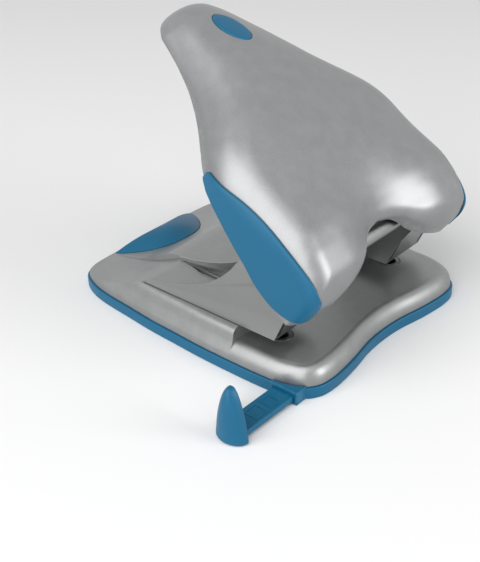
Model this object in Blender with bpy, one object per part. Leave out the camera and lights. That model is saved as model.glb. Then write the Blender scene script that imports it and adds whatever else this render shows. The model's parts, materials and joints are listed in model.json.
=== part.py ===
"""Two-hole desk punch, built as separate solids in metres with +Z up.

The origin is on the ground, midway between the two punch pins, and the paper side faces -Y. The
lever stands raised, as the return springs leave it.
"""
import math

import bmesh
import bpy
from mathutils import Vector

# General values
GAP = 0.0003                       # clearance between pieces that touch
OVERRUN = 0.004                    # how far a cutter runs past what it cuts
MERGE = 0.00001                    # distance under which points become one
FINE_STEPS = 24                    # sides of a small round
COARSE_STEPS = 16                  # sides of a screw or rivet
SHARP_ANGLE = math.radians(35.0)   # above which an edge is drawn sharp

# Paper, holes and the working heights
HOLE_SPACING = 0.080
PAPER_EDGE = 0.012                 # from a hole's centre to the paper stop
TABLE_HEIGHT = 0.0135
SLOT_HEIGHT = 0.0062
PIN_RADIUS = 0.0030
PIN_SIDE = HOLE_SPACING / 2
DECK_HEIGHT = TABLE_HEIGHT + SLOT_HEIGHT
BRACKET_FLOOR = DECK_HEIGHT + GAP

# Widths that follow from each other
BRACKET_HALF_WIDTH = 0.0131
BASE_SIDE_MARGIN = 0.0077          # from a bracket to the base's edge
LEVER_SHEET = 0.0014
LEVER_SIDE_CLEARANCE = 0.0005      # between a bracket and the lever cover
BASE_HALF_WIDTH = PIN_SIDE + BRACKET_HALF_WIDTH + BASE_SIDE_MARGIN
LEVER_HALF_WIDTH = PIN_SIDE + BRACKET_HALF_WIDTH + LEVER_SIDE_CLEARANCE + LEVER_SHEET

# Base outline
BASE_FRONT = 0.0300                # from the pins to the front lobes
BASE_REAR = 0.1180                 # from the pins to the rear edge
BASE_OUTLINE_STEPS = 2             # points drawn between two outline points
BASE_CORNER_SHARE = 0.8            # of the half width, outside which the outline is a side
BASE_SHARES = (
    (0.0, 0.032), (0.197, 0.027), (0.395, 0.012), (0.559, 0.003), (0.69, 0.0), (0.814, 0.007),
    (0.913, 0.037), (0.975, 0.098), (0.995, 0.176), (1.0, 0.284), (0.998, 0.396), (0.987, 0.493),
    (0.974, 0.608), (0.949, 0.714), (0.921, 0.831), (0.88, 0.905), (0.806, 0.963), (0.707, 0.988),
    (0.592, 0.997), (0.395, 1.0), (0.197, 1.0), (0.0, 1.0),
)

# Base tray
RIM_HEIGHT = 0.0053
RIM_LEDGE = 0.0010                 # ledge left outside the cover
TRAY_FLOOR = 0.0012
TRAY_FOOT_ROUND = 0.0006
TRAY_LIP_HEIGHT = 0.0016
TRAY_LIP_WALL = 0.0012
TRAY_LIP_REAR = 0.0800             # behind the pins, where the lip ends

# Base cover
COVER_SHEET = 0.0012
TABLE_OVERLAP = 0.0006             # of the paper table into the deck behind it
BEAD_WIDTH = 0.0056                # rounded edge of the paper table
RAIL_WIDTH = 0.0064                # rounded edge of the rear deck
# Edges as shares of their width and of their rise
BEAD_SHARES = ((0.0, 0.0), (0.05, 0.31), (0.19, 0.59), (0.41, 0.81), (0.69, 0.95), (1.0, 1.0))
RAIL_SHARES = (
    (0.0, 0.0), (0.044, 0.174), (0.166, 0.33), (0.33, 0.54), (0.42, 0.71), (0.50, 0.85),
    (0.66, 0.95), (1.0, 1.0),
)
FALL_WIDTH = BASE_HALF_WIDTH + OVERRUN
SIDE_FALL_START = 0.0670           # where the deck's sides begin to fall to the rear
MIDDLE_FALL_START = 0.0730
FALL_END_HEIGHT = 0.0063
# The falls as shares: along and down
SIDE_FALL_SHARES = (
    (0.0, 0.0), (0.06, 0.037), (0.16, 0.164), (0.24, 0.276), (0.32, 0.403), (0.40, 0.515), (0.48, 0.612),
    (0.56, 0.705), (0.64, 0.776), (0.76, 0.866), (0.88, 0.94), (1.0, 1.0),
)
MIDDLE_FALL_SHARES = (
    (0.0, 0.0), (0.083, 0.03), (0.162, 0.09), (0.231, 0.20), (0.3125, 0.34), (0.394, 0.478), (0.463, 0.59),
    (0.532, 0.68), (0.671, 0.80), (0.81, 0.89), (0.90, 0.945), (1.0, 1.0),
)
MIDDLE_HALF_WIDTH = 0.0260
MIDDLE_FLANK_SLOPE = 0.15          # how far the middle's flank spreads for its drop
MIDDLE_REAR_MARGIN = 0.0008        # from the cover's rear edge to the middle's end
SIDE_FALL = (SIDE_FALL_START, BASE_REAR - RIM_LEDGE, SIDE_FALL_SHARES)
MIDDLE_FALL = (MIDDLE_FALL_START, BASE_REAR - RIM_LEDGE - MIDDLE_REAR_MARGIN, MIDDLE_FALL_SHARES)

# Rear pad
PAD_HALF_WIDTH = 0.0270
PAD_POINT_POWER = 1.6              # above one, it draws the pad's ends to points
PAD_FRONT = 0.0920
PAD_MIDDLE = 0.1065                # where the pad is highest
PAD_EDGE_INSET = 0.0010            # from the cover's rear edge to the pad
PAD_CROWN = 0.0062
PAD_PROUD = 0.0003
PAD_SHEET = 0.0010
PAD_ARC_STEPS = 22
PAD_REAR_STEPS = 6
PAD_RING_SHARES = (0.0, 0.08, 0.2, 0.38, 0.6, 0.82)

# Paper guide
GUIDE_CENTRE = 0.0180              # in front of the pins
GUIDE_WIDTH = 0.0108
GUIDE_HEIGHT = 0.0028
GUIDE_FIN_INNER = 0.0915           # from the middle plane to the fin's inner face
GUIDE_INNER_END = 0.0140
FIN_HEIGHT = 0.0243
FIN_HALF_WIDTH = 0.0077
FIN_BULGE = 0.0058
FIN_CENTRE = 0.0182
FIN_ARC_STEPS = 14
# The fin as shares: up, half width and bulge
FIN_SHARES = (
    (0.0, 0.92, 0.88), (0.035, 1.0, 1.0), (0.16, 0.96, 1.0), (0.30, 0.90, 1.0), (0.42, 0.84, 0.99),
    (0.55, 0.75, 0.96), (0.70, 0.62, 0.90), (0.82, 0.49, 0.81), (0.92, 0.34, 0.68), (0.98, 0.19, 0.50),
    (1.0, 0.08, 0.34),
)
COLLAR_WALL = 0.0016
COLLAR_REACH = 0.0024
COLLAR_HEIGHT = 0.0062
GUIDE_RIB_WALL = 0.0012
GUIDE_RIB_LENGTH = 0.0880
GUIDE_KEEPER = 0.0010              # how far a rib's top laps over the bar
GUIDE_TRAVEL_IN = 0.0280

# Base plate and dies
PLATE_SHEET = 0.0022
PLATE_SIDE_MARGIN = 0.0080         # outside the dies' axes
PLATE_HALF_WIDTH = PIN_SIDE + PLATE_SIDE_MARGIN
PLATE_FRONT = 0.0160
PLATE_REAR = SIDE_FALL_START - COVER_SHEET - GAP
DIE_BORE = 0.00315
DIE_RELIEF = 0.0039
DIE_LAND = 0.0022
DIE_RADIUS = 0.0050
DIE_FLANGE_RADIUS = 0.0065
DIE_FLANGE_SHEET = 0.0011

# Brackets
BRACKET_SHEET = 0.0012
BRACKET_FRONT = 0.0070
BRACKET_REAR = 0.0703
BRACKET_FLOOR_REAR = 0.0260
BRACKET_TAIL_HEIGHT = 0.0008
FLANGE_LEAN = math.radians(24.6)
FLANGE_HEIGHT = 0.0220
FLANGE_SLIT = 0.0014
EAR_RADIUS = 0.0085
EAR_START = math.radians(200.0)
EAR_END = math.radians(70.0)
SHOULDER_REACH = 0.0120
SHOULDER_HEIGHT = 0.0301
SHOULDER_TOP_REACH = 0.0060
SHOULDER_TOP_HEIGHT = 0.0350
CURVE_PULL_REACH = 0.0280
CURVE_PULL_HEIGHT = 0.0065
CURVE_STEPS = 9
EAR_STEPS = 8
WINDOW_FRONT = 0.0290
TONGUE_TIP = 0.0460
TONGUE_STEPS = 12
WINDOW_INSET = 0.0006

# Rivets
RIVET_RADIUS = 0.0015
RIVET_HOLE_RADIUS = RIVET_RADIUS + GAP
RIVET_HEAD_RADIUS = 0.0030
RIVET_HEAD_HEIGHT = 0.0013
RIVET_CROWN_SHARE = 0.7
RIVET_BACK = 0.0190                # behind the pins
RIVET_SPREAD = 0.0055

# Pivot and lever position
PIVOT_FRONT = 0.0140               # in front of the pins: the arm of the pins' stroke
PIVOT_HEIGHT = 0.0480
REST_LIFT = math.radians(38.0)
PRESS_ANGLE = math.radians(40.0)
SHAFT_RADIUS = 0.0040
SHAFT_CHAMFER = 0.0005
CLIP_SHEET = 0.0008
CLIP_PLAY = 0.0001
CLIP_RADIUS = 0.0070
CLIP_GROOVE_RADIUS = 0.0033
CLIP_OPENING_ANGLE = math.radians(70.0)
CLIP_STEPS = 16

# Pins, guides and springs
PIN_RETRACTED = 0.0008             # tip above the bracket floor's underside
PIN_TOP = 0.0420
PIN_CHAMFER = 0.0004
PIN_GROOVE_DEPTH = 0.0007
PIN_GROOVE_DROP = 0.0009
PIN_CLIP_SHEET = 0.0008
PIN_CLIP_RADIUS = 0.0060
GUIDE_BUSH_BORE = 0.00325
GUIDE_BUSH_RADIUS = 0.0043
GUIDE_BUSH_HEIGHT = 0.0070
GUIDE_FLANGE_RADIUS = 0.0062
GUIDE_FLANGE_SHEET = 0.0010
SPRING_WIRE_RADIUS = 0.0005
SPRING_RADIUS = 0.0053
SPRING_CURLS = 5
SPRING_CURL_POINTS = 9

# Lever frame
ARM_SHEET = 0.0040
HUB_RADIUS = 0.0060
HUB_START = math.radians(150.0)
HUB_END = math.radians(285.0)
HUB_STEPS = 8
WEB_START_SHARE = 0.30             # of the frame's reach, where an arm meets the plate
WEB_END_SHARE = 0.32
FRAME_SHEET = 0.0022
FRAME_DROP = 0.0120                # from the pivot up to the plate's underside
NOSE_STEPS = 9
NOSE_MARGIN = math.radians(4.0)
FRAME_PLAN_SHARES = (
    (0.0, 0.10), (0.36, 0.10), (0.60, 0.04), (0.85, 0.04), (0.85, -0.04), (1.0, -0.04), (1.0, 0.36),
    (0.62, 0.60), (0.36, 0.82), (0.30, 0.95), (0.20, 1.0), (0.0, 1.0),
)

# Lever cover
LEVER_REACH = 0.1315               # from the pivot to the tip
LEVER_CROWN = 0.0080
LEVER_TABLE_STEPS = 4
# The rim is a front with two lobes and an arch, two sides and a round tip. Widths, heights and edge
# rounds are shares of the half width, and places along are shares of the reach.
# Front: across, along, rim height, edge round
LEVER_FRONT_SHARES = (
    (0.0, 0.012, 0.185, 0.050), (0.145, 0.0, 0.157, 0.055), (0.247, -0.022, 0.117, 0.065),
    (0.327, -0.052, 0.074, 0.080), (0.409, -0.077, 0.055, 0.10), (0.491, -0.093, 0.038, 0.12),
    (0.60, -0.1065, 0.005, 0.13), (0.709, -0.115, -0.032, 0.14), (0.80, -0.117, -0.068, 0.15),
    (0.882, -0.113, -0.103, 0.15), (0.945, -0.107, -0.136, 0.16), (0.985, -0.096, -0.174, 0.17),
    (1.0, -0.080, -0.227, 0.17),
)
# Side: along, half width, rim height, edge round
LEVER_SIDE_SHARES = (
    (0.0, 1.0, -0.227, 0.17), (0.114, 1.0, -0.21, 0.18), (0.228, 1.0, -0.13, 0.20),
    (0.342, 1.0, -0.05, 0.21), (0.410, 0.982, -0.015, 0.22), (0.475, 0.91, -0.01, 0.22),
    (0.535, 0.80, -0.01, 0.22),
    (0.595, 0.68, -0.02, 0.22), (0.655, 0.58, -0.025, 0.22), (0.722, 0.495, -0.025, 0.21),
    (0.798, 0.425, -0.03, 0.19), (0.86, 0.37, -0.05, 0.17), (0.92, 0.315, -0.08, 0.15),
)
# Tip: across the tip's own width, along, rim height, edge round
LEVER_TIP_SHARES = (
    (0.0, 1.0, -0.155, 0.13), (0.25, 0.995, -0.15, 0.13), (0.5, 0.982, -0.135, 0.13),
    (0.75, 0.957, -0.11, 0.14), (1.0, 0.92, -0.08, 0.15),
)
# Top: along, height in the middle plane, height over the lobes
LEVER_TOP_SHARES = (
    (-0.13, 0.13, 0.20), (-0.06, 0.18, 0.33), (0.0, 0.225, 0.39), (0.04, 0.285, 0.415), (0.09, 0.35, 0.44),
    (0.19, 0.42, 0.45), (0.34, 0.445, 0.455), (0.49, 0.436, 0.436), (0.63, 0.40, 0.40), (0.72, 0.35, 0.35),
    (0.80, 0.285, 0.285), (0.87, 0.225, 0.225), (0.93, 0.16, 0.16), (0.97, 0.08, 0.08), (1.0, -0.03, -0.03),
)
LOBE_PLACE_SHARE = 0.62            # across the half width, where a lobe is highest
FRONT_CROWN_SHARE = 0.25           # of the crown, at the front
CROWN_GROWTH_SHARE = 0.30          # of the reach, over which the crown grows to its whole
LEVER_COLUMN_SHARES = (
    0.0, 0.12, 0.22, 0.30, 0.37, 0.44, 0.51, 0.61, 0.71, 0.81, 0.89, 0.945, 0.98, 1.0,
)
LEVER_ROW_SHARES = (
    0.0, 0.006, 0.020, 0.045, 0.080, 0.13, 0.20, 0.30, 0.41, 0.53, 0.65, 0.76, 0.85, 0.92, 0.96, 0.985, 1.0,
)

# Side trims, along the reach and up the half width, as shares
TRIM_SHEET = 0.0011
TRIM_SHARES = (
    (0.440, 0.010), (0.425, 0.075), (0.340, 0.160), (0.245, 0.222), (0.120, 0.262), (0.018, 0.262),
    (-0.050, 0.235), (-0.090, 0.180), (-0.112, 0.095), (-0.115, -0.020), (-0.106, -0.095), (-0.076, -0.155),
    (-0.030, -0.200), (0.018, -0.213), (0.104, -0.195), (0.180, -0.148), (0.263, -0.090), (0.346, -0.030),
    (0.405, -0.008),
)
TRIM_STEPS = 2
TRIM_INNER_SHARE = 0.75            # of the half width, inside which no trim reaches

# Oval inlay
OVAL_FROM_TIP = 0.0270
OVAL_ALONG = LEVER_REACH - OVAL_FROM_TIP
OVAL_HALF_LENGTH = 0.0105
OVAL_HALF_WIDTH = 0.0056
OVAL_SHEET = 0.0022
OVAL_PROUD = 0.0005
OVAL_STEPS = 28

# Reach of the frame's plate, which ends in front of the oval
FRAME_OVAL_MARGIN = 0.0020
FRAME_REACH = OVAL_ALONG - OVAL_HALF_LENGTH - FRAME_OVAL_MARGIN

# Cover screws
BOSS_RADIUS = 0.0036
SCREW_RADIUS = 0.0015
SCREW_HOLE_RADIUS = SCREW_RADIUS + GAP
SCREW_HEAD_RADIUS = 0.0029
SCREW_HEAD_HEIGHT = 0.0018
SCREW_REACH = 0.0042
SCREW_SIDE = 0.0220
SCREW_ALONG = 0.0400
SCREW_TIP_MARGIN = 0.0090
SCREW_PLACES = ((-SCREW_SIDE, SCREW_ALONG), (SCREW_SIDE, SCREW_ALONG), (0.0, FRAME_REACH - SCREW_TIP_MARGIN))


def clear_scene():
    """Remove every object that the scene holds."""
    for item in list(bpy.data.objects):
        bpy.data.objects.remove(item, do_unlink=True)


def make_material(name, colour, roughness, metallic):
    """Return a material of one colour."""
    material = bpy.data.materials.new(name)
    material.use_nodes = True
    shader = material.node_tree.nodes["Principled BSDF"]
    shader.inputs["Base Color"].default_value = (*colour, 1.0)
    shader.inputs["Roughness"].default_value = roughness
    shader.inputs["Metallic"].default_value = metallic
    return material


def curve_place(a, b, c, d, t):
    """Return the place between b and c on the smooth curve through four values."""
    square = (2 * a - 5 * b + 4 * c - d) * t ** 2
    cube = (3 * b - a - 3 * c + d) * t ** 3
    return (2 * b + (c - a) * t + square + cube) / 2


def spline(points, steps, closed):
    """Return points on a smooth curve through the given ones."""
    count = len(points)
    out = []
    spans = count if closed else count - 1
    for index in range(spans):
        if closed:
            around = [points[(index + shift) % count] for shift in (-1, 0, 1, 2)]
        else:
            around = [points[min(max(index + shift, 0), count - 1)] for shift in (-1, 0, 1, 2)]
        before, start, end, after = around
        for step in range(steps):
            t = step / steps
            out.append(tuple(curve_place(*values, t) for values in zip(before, start, end, after)))
    if not closed:
        out.append(tuple(points[-1]))
    return out


TOP_ROWS = spline(LEVER_TOP_SHARES, LEVER_TABLE_STEPS, closed=False)
FRONT_ROWS = spline(LEVER_FRONT_SHARES, LEVER_TABLE_STEPS, closed=False)
SIDE_ROWS = spline(LEVER_SIDE_SHARES, LEVER_TABLE_STEPS, closed=False)
TIP_ROWS = spline(LEVER_TIP_SHARES, LEVER_TABLE_STEPS, closed=False)


def interpolate(rows, value, column):
    """Read a column of a table whose first column rises."""
    if value <= rows[0][0]:
        return rows[0][column]
    for low, high in zip(rows, rows[1:]):
        if value <= high[0]:
            share = (value - low[0]) / (high[0] - low[0])
            return low[column] + (high[column] - low[column]) * share
    return rows[-1][column]


def normals_2d(points):
    """Return the inward unit normals of a closed outline that runs anticlockwise."""
    out = []
    count = len(points)
    for index in range(count):
        before = points[index - 1]
        after = points[(index + 1) % count]
        along = Vector((after[0] - before[0], after[1] - before[1])).normalized()
        out.append(Vector((-along.y, along.x)))
    return out


def inset(points, distance):
    """Return a closed outline moved inwards by a distance."""
    return [(p[0] + n.x * distance, p[1] + n.y * distance) for p, n in zip(points, normals_2d(points))]


def mesh_object(name, mesh_bm, material=None):
    """Turn a bmesh into an object with its faces outwards."""
    bmesh.ops.remove_doubles(mesh_bm, verts=mesh_bm.verts, dist=MERGE)
    bmesh.ops.recalc_face_normals(mesh_bm, faces=mesh_bm.faces)
    mesh = bpy.data.meshes.new(name)
    mesh_bm.to_mesh(mesh)
    mesh_bm.free()
    mesh.shade_smooth()
    mesh.set_sharp_from_angle(angle=SHARP_ANGLE)
    item = bpy.data.objects.new(name, mesh)
    bpy.context.collection.objects.link(item)
    if material is not None:
        mesh.materials.append(material)
    return item


def rings_object(name, rings, material=None, capped=True, looped=False):
    """Bridge equal rings of points one after the other into a mesh."""
    mesh_bm = bmesh.new()
    made = [[mesh_bm.verts.new(point) for point in ring] for ring in rings]
    pairs = list(zip(made, made[1:]))
    if looped:
        pairs.append((made[-1], made[0]))
    for low, high in pairs:
        for index in range(len(low)):
            after = (index + 1) % len(low)
            mesh_bm.faces.new((low[index], low[after], high[after], high[index]))
    if capped and not looped:
        mesh_bm.faces.new(list(reversed(made[0])))
        mesh_bm.faces.new(made[-1])
    return mesh_object(name, mesh_bm, material)


def prism_z(name, outline, low, high, material=None):
    """Raise a plan outline between two heights."""
    rings = [[(x, y, level) for x, y in outline] for level in (low, high)]
    return rings_object(name, rings, material)


def prism_x(name, outline, low, high, material=None):
    """Run a side outline of (y, z) points between two places across."""
    rings = [[(place, y, z) for y, z in outline] for place in (low, high)]
    return rings_object(name, rings, material)


def box(name, across, along, up, material=None):
    """Make a block between two places each way."""
    outline = [(across[0], along[0]), (across[1], along[0]), (across[1], along[1]), (across[0], along[1])]
    return prism_z(name, outline, up[0], up[1], material)


def circle(radius, steps):
    """Return points round a circle."""
    angles = [2 * math.pi * index / steps for index in range(steps)]
    return [(radius * math.cos(angle), radius * math.sin(angle)) for angle in angles]


def turned(name, profile, steps, material=None, bored=False):
    """Turn a profile of (radius, height) points round the Z axis."""
    rings = []
    for radius, height in profile:
        rings.append([(x, y, height) for x, y in circle(radius, steps)])
    return rings_object(name, rings, material, looped=bored)


def cylinder_x(name, radius, low, high, centre, steps=FINE_STEPS):
    """Make a round bar along X."""
    outline = [(centre[0] + y, centre[1] + z) for y, z in circle(radius, steps)]
    return prism_x(name, outline, low, high)


def cylinder_z(name, radius, low, high, centre, steps=FINE_STEPS):
    """Make a round bar along Z."""
    outline = [(centre[0] + x, centre[1] + y) for x, y in circle(radius, steps)]
    return prism_z(name, outline, low, high)


def combine(target, tool, operation):
    """Join or cut the target with a tool that isn't itself a piece."""
    step = target.modifiers.new(tool.name, "BOOLEAN")
    step.operation = operation
    step.solver = "EXACT"
    step.object = tool
    tool.hide_render = True
    tool.display_type = "WIRE"
    tool.parent = target.parent
    tool.rotation_euler = target.rotation_euler if target.parent is None else (0.0, 0.0, 0.0)


def place(item, x=0.0, y=0.0, z=0.0):
    """Set an object's location and return it."""
    item.location = (x, y, z)
    return item


def rim_half_width(y):
    """Return the tray's half width at a place along Y."""
    share = (y + BASE_FRONT) / (BASE_FRONT + BASE_REAR)
    return BASE_HALF_WIDTH * interpolate([(b, a) for a, b in BASE_SHARES if a > BASE_CORNER_SHARE], share, 1)


def base_outline():
    """Return the tray's outer outline, anticlockwise from the front middle."""
    depth = BASE_FRONT + BASE_REAR
    right = [(x * BASE_HALF_WIDTH, y * depth - BASE_FRONT) for x, y in BASE_SHARES]
    left = [(-x, y) for x, y in reversed(right[1:-1])]
    return spline(right + left, BASE_OUTLINE_STEPS, closed=True)


def dome(name, outline, base, top, edge, foot):
    """Make a solid with a flat top and rounded sides, which starts at the foot height.

    The edge is a width and a table of shares of that width and of the rise from base to top.
    """
    width, shares = edge
    rings = []
    for inwards, up in shares:
        rings.append([(x, y, base + (top - base) * up) for x, y in inset(outline, width * inwards)])
    if foot < base:
        rings.insert(0, [(x, y, foot) for x, y in outline])
    return rings_object(name, rings)


def fall_height(y, fall):
    """Return the deck's height at a place along Y, for a fall of start, rear and shares."""
    start, rear, shares = fall
    share = min(max((y - start) / (rear - start), 0.0), 1.0)
    return DECK_HEIGHT - (DECK_HEIGHT - FALL_END_HEIGHT) * interpolate(shares, share, 1)


def fall_outline(fall, drop):
    """Return the (y, z) curve of a falling deck, lowered by a drop."""
    start, rear, shares = fall
    places = [start + (rear - start) * along for along, _ in shares]
    return [(y, fall_height(y, fall) - drop) for y in places]


def make_tray(material):
    """Make the tray with its rim, ledge, lip, guide collar and guide ribs."""
    outline = base_outline()
    lip_outer = RIM_LEDGE + COVER_SHEET + GAP
    wall = lip_outer + TRAY_LIP_WALL
    lip_top = RIM_HEIGHT + TRAY_LIP_HEIGHT
    levels = (
        (TRAY_FOOT_ROUND, 0.0), (0.0, TRAY_FOOT_ROUND), (0.0, RIM_HEIGHT), (lip_outer, RIM_HEIGHT),
        (lip_outer, lip_top), (wall, lip_top), (wall, TRAY_FLOOR),
    )
    rings = [[(x, y, level) for x, y in inset(outline, distance)] for distance, level in levels]
    tray = rings_object("base_tray", rings, material)
    rear = box("tray_lip_cut", (-FALL_WIDTH, FALL_WIDTH), (TRAY_LIP_REAR, BASE_REAR + OVERRUN),
               (RIM_HEIGHT, lip_top + OVERRUN))
    combine(tray, rear, "DIFFERENCE")
    combine(tray, guide_collar(outline), "UNION")
    half = GUIDE_WIDTH / 2 + GAP
    for number, way in enumerate((-1, 1), start=1):
        near = -GUIDE_CENTRE + way * half
        low, high = sorted((near - way * GUIDE_KEEPER, near + way * GUIDE_RIB_WALL))
        start = wall / 2 - rim_half_width(low)
        rib = box(f"tray_rib_body_{number}", (start, start + GUIDE_RIB_LENGTH), (low, high),
                  (TRAY_FLOOR / 2, RIM_HEIGHT))
        combine(tray, rib, "UNION")
    outside = -rim_half_width(-GUIDE_CENTRE) - COLLAR_REACH - OVERRUN
    slot = box("tray_slot_cut", (outside, GUIDE_INNER_END + GUIDE_TRAVEL_IN + GAP),
               (-GUIDE_CENTRE - half, -GUIDE_CENTRE + half),
               (TRAY_FLOOR, TRAY_FLOOR + GUIDE_HEIGHT + 2 * GAP))
    combine(tray, slot, "DIFFERENCE")
    return tray


def guide_collar(outline):
    """Make the collar round the paper guide, whose top stays outside the cover."""
    half = GUIDE_WIDTH / 2 + COLLAR_WALL
    low = -GUIDE_CENTRE - half
    outer = -rim_half_width(-GUIDE_CENTRE) - COLLAR_REACH
    collar = box("tray_collar_body", (outer, RIM_LEDGE * 2 - rim_half_width(low)), (low, low + 2 * half),
                 (0.0, COLLAR_HEIGHT))
    inside = prism_z("tray_collar_cut", inset(outline, RIM_LEDGE - GAP), RIM_HEIGHT, COLLAR_HEIGHT + OVERRUN)
    combine(collar, inside, "DIFFERENCE")
    return collar


def middle_block(name, shrink):
    """Make the raised middle of the rear deck, whose flanks spread as they go down."""
    rear = MIDDLE_FALL[1]
    curve = fall_outline(MIDDLE_FALL, shrink)
    foot = RIM_HEIGHT + GAP
    if shrink:
        foot -= OVERRUN
    outline = [(PAPER_EDGE + shrink, foot), (PAPER_EDGE + shrink, DECK_HEIGHT - shrink)]
    outline += [(y - shrink, z) for y, z in curve]
    outline.append((rear - shrink, foot))
    rings = []
    for way in (-1, 1):
        rings.append([(way * (MIDDLE_HALF_WIDTH - shrink + (DECK_HEIGHT - z) * MIDDLE_FLANK_SLOPE), y, z)
                      for y, z in outline])
    return rings_object(name, rings)


def table_block(name, outline, top, end, foot):
    """Make the paper table with its rounded edge, up to an end inside the deck."""
    base = RIM_HEIGHT + GAP
    table = dome(name, outline, base, top, (BEAD_WIDTH, BEAD_SHARES), foot)
    behind = box(f"{name}_rear_cut", (-FALL_WIDTH, FALL_WIDTH), (end, BASE_REAR + OVERRUN),
                 (foot - OVERRUN, DECK_HEIGHT))
    combine(table, behind, "DIFFERENCE")
    return table


def deck_block(name, outline, shrink, base, foot):
    """Make the rear deck with rounded rails and falling sides, behind the paper stop."""
    deck = dome(name, outline, base, DECK_HEIGHT - shrink, (RAIL_WIDTH, RAIL_SHARES), foot)
    front = PAPER_EDGE + shrink
    ahead = prism_x(f"{name}_front_cut", [
        (-BASE_FRONT - OVERRUN, foot - OVERRUN), (front, foot - OVERRUN),
        (front, DECK_HEIGHT + OVERRUN), (-BASE_FRONT - OVERRUN, DECK_HEIGHT + OVERRUN),
    ], -FALL_WIDTH, FALL_WIDTH)
    combine(deck, ahead, "DIFFERENCE")
    fall = fall_outline(SIDE_FALL, shrink)
    behind = BASE_REAR + OVERRUN
    above = DECK_HEIGHT + OVERRUN
    fall += [(behind, fall[-1][1]), (behind, above), (fall[0][0], above)]
    combine(deck, prism_x(f"{name}_fall_cut", fall, -FALL_WIDTH, FALL_WIDTH), "DIFFERENCE")
    return deck


def window_outline(side):
    """Return the deck window under a bracket, which goes round a rounded tongue."""
    half = BRACKET_HALF_WIDTH - BRACKET_SHEET - WINDOW_INSET
    rear = BRACKET_REAR
    outline = [(side - half, WINDOW_FRONT), (side + half, WINDOW_FRONT)]
    for step in range(TONGUE_STEPS + 1):
        angle = math.pi * step / TONGUE_STEPS
        outline.append((side + half * math.cos(angle), rear - (rear - TONGUE_TIP) * math.sin(angle)))
    return outline


def rivet_places():
    """Return the rivets' places and the side of their bracket."""
    return [(way, place_number, way * PIN_SIDE + spread, RIVET_BACK)
            for way in (-1, 1)
            for place_number, spread in enumerate((-RIVET_SPREAD, RIVET_SPREAD), start=1)]


def make_base_cover(material):
    """Make the pressed cover: paper table, stop step, deck, rails, windows and holes."""
    base = RIM_HEIGHT + GAP
    outer = inset(base_outline(), RIM_LEDGE)
    inner = inset(outer, COVER_SHEET)
    cover = table_block("base_cover", outer, TABLE_HEIGHT, PAPER_EDGE + TABLE_OVERLAP, base)
    cover.data.materials.append(material)
    combine(cover, deck_block("deck_body", outer, 0.0, base, base), "UNION")
    combine(cover, middle_block("middle_body", 0.0), "UNION")
    foot = base - OVERRUN
    table_hollow = table_block("table_hollow", inner, TABLE_HEIGHT - COVER_SHEET,
                               PAPER_EDGE + COVER_SHEET + TABLE_OVERLAP, foot)
    combine(cover, table_hollow, "DIFFERENCE")
    combine(cover, deck_block("deck_hollow", inner, COVER_SHEET, base, foot), "DIFFERENCE")
    combine(cover, middle_block("middle_hollow", COVER_SHEET), "DIFFERENCE")
    for way in (-1, 1):
        window = prism_z(f"window_cut_{way + 2}", window_outline(way * PIN_SIDE),
                         DECK_HEIGHT - COVER_SHEET - OVERRUN, DECK_HEIGHT + OVERRUN)
        combine(cover, window, "DIFFERENCE")
        hole = cylinder_z(f"die_hole_cut_{way + 2}", DIE_RADIUS + GAP, TABLE_HEIGHT - OVERRUN,
                          TABLE_HEIGHT + OVERRUN, (way * PIN_SIDE, 0.0))
        combine(cover, hole, "DIFFERENCE")
    for way, number, x, y in rivet_places():
        hole = cylinder_z(f"cover_rivet_cut_{way + 2}_{number}", RIVET_HOLE_RADIUS, DECK_HEIGHT - OVERRUN,
                          DECK_HEIGHT + OVERRUN, (x, y), COARSE_STEPS)
        combine(cover, hole, "DIFFERENCE")
    opening = prism_z("pad_opening_cut", inset(pad_outline(), -GAP), base - OVERRUN, DECK_HEIGHT + OVERRUN)
    combine(cover, opening, "DIFFERENCE")
    return cover


def pad_outline():
    """Return the rear pad's outline, anticlockwise from its left end."""
    rear = BASE_REAR - RIM_LEDGE - PAD_EDGE_INSET
    points = []
    for step in range(PAD_ARC_STEPS + 1):
        angle = math.pi + math.pi * step / PAD_ARC_STEPS
        forward = abs(math.sin(angle)) ** PAD_POINT_POWER
        points.append((PAD_HALF_WIDTH * math.cos(angle), rear - (rear - PAD_FRONT) * forward))
    for step in range(1, PAD_REAR_STEPS):
        points.append((PAD_HALF_WIDTH * (1 - 2 * step / PAD_REAR_STEPS), rear))
    return points


def pad_height(y, share):
    """Return the height of the pad's surface, some share of the way from its edge to its crown."""
    crown = PAD_CROWN * (1 - (1 - share) ** 2)
    return fall_height(y, MIDDLE_FALL) + PAD_PROUD + crown


def make_pad(material):
    """Make the teal pad as a crowned shell."""
    outline = pad_outline()
    sides = []
    for drop in (0.0, PAD_SHEET):
        rings = []
        for share in PAD_RING_SHARES:
            ring = [(x * (1 - share), y + (PAD_MIDDLE - y) * share) for x, y in outline]
            rings.append([(x, y, pad_height(y, share) - drop) for x, y in ring])
        sides.append(rings)
    return rings_object("rear_pad", list(reversed(sides[0])) + sides[1], material)


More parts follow.
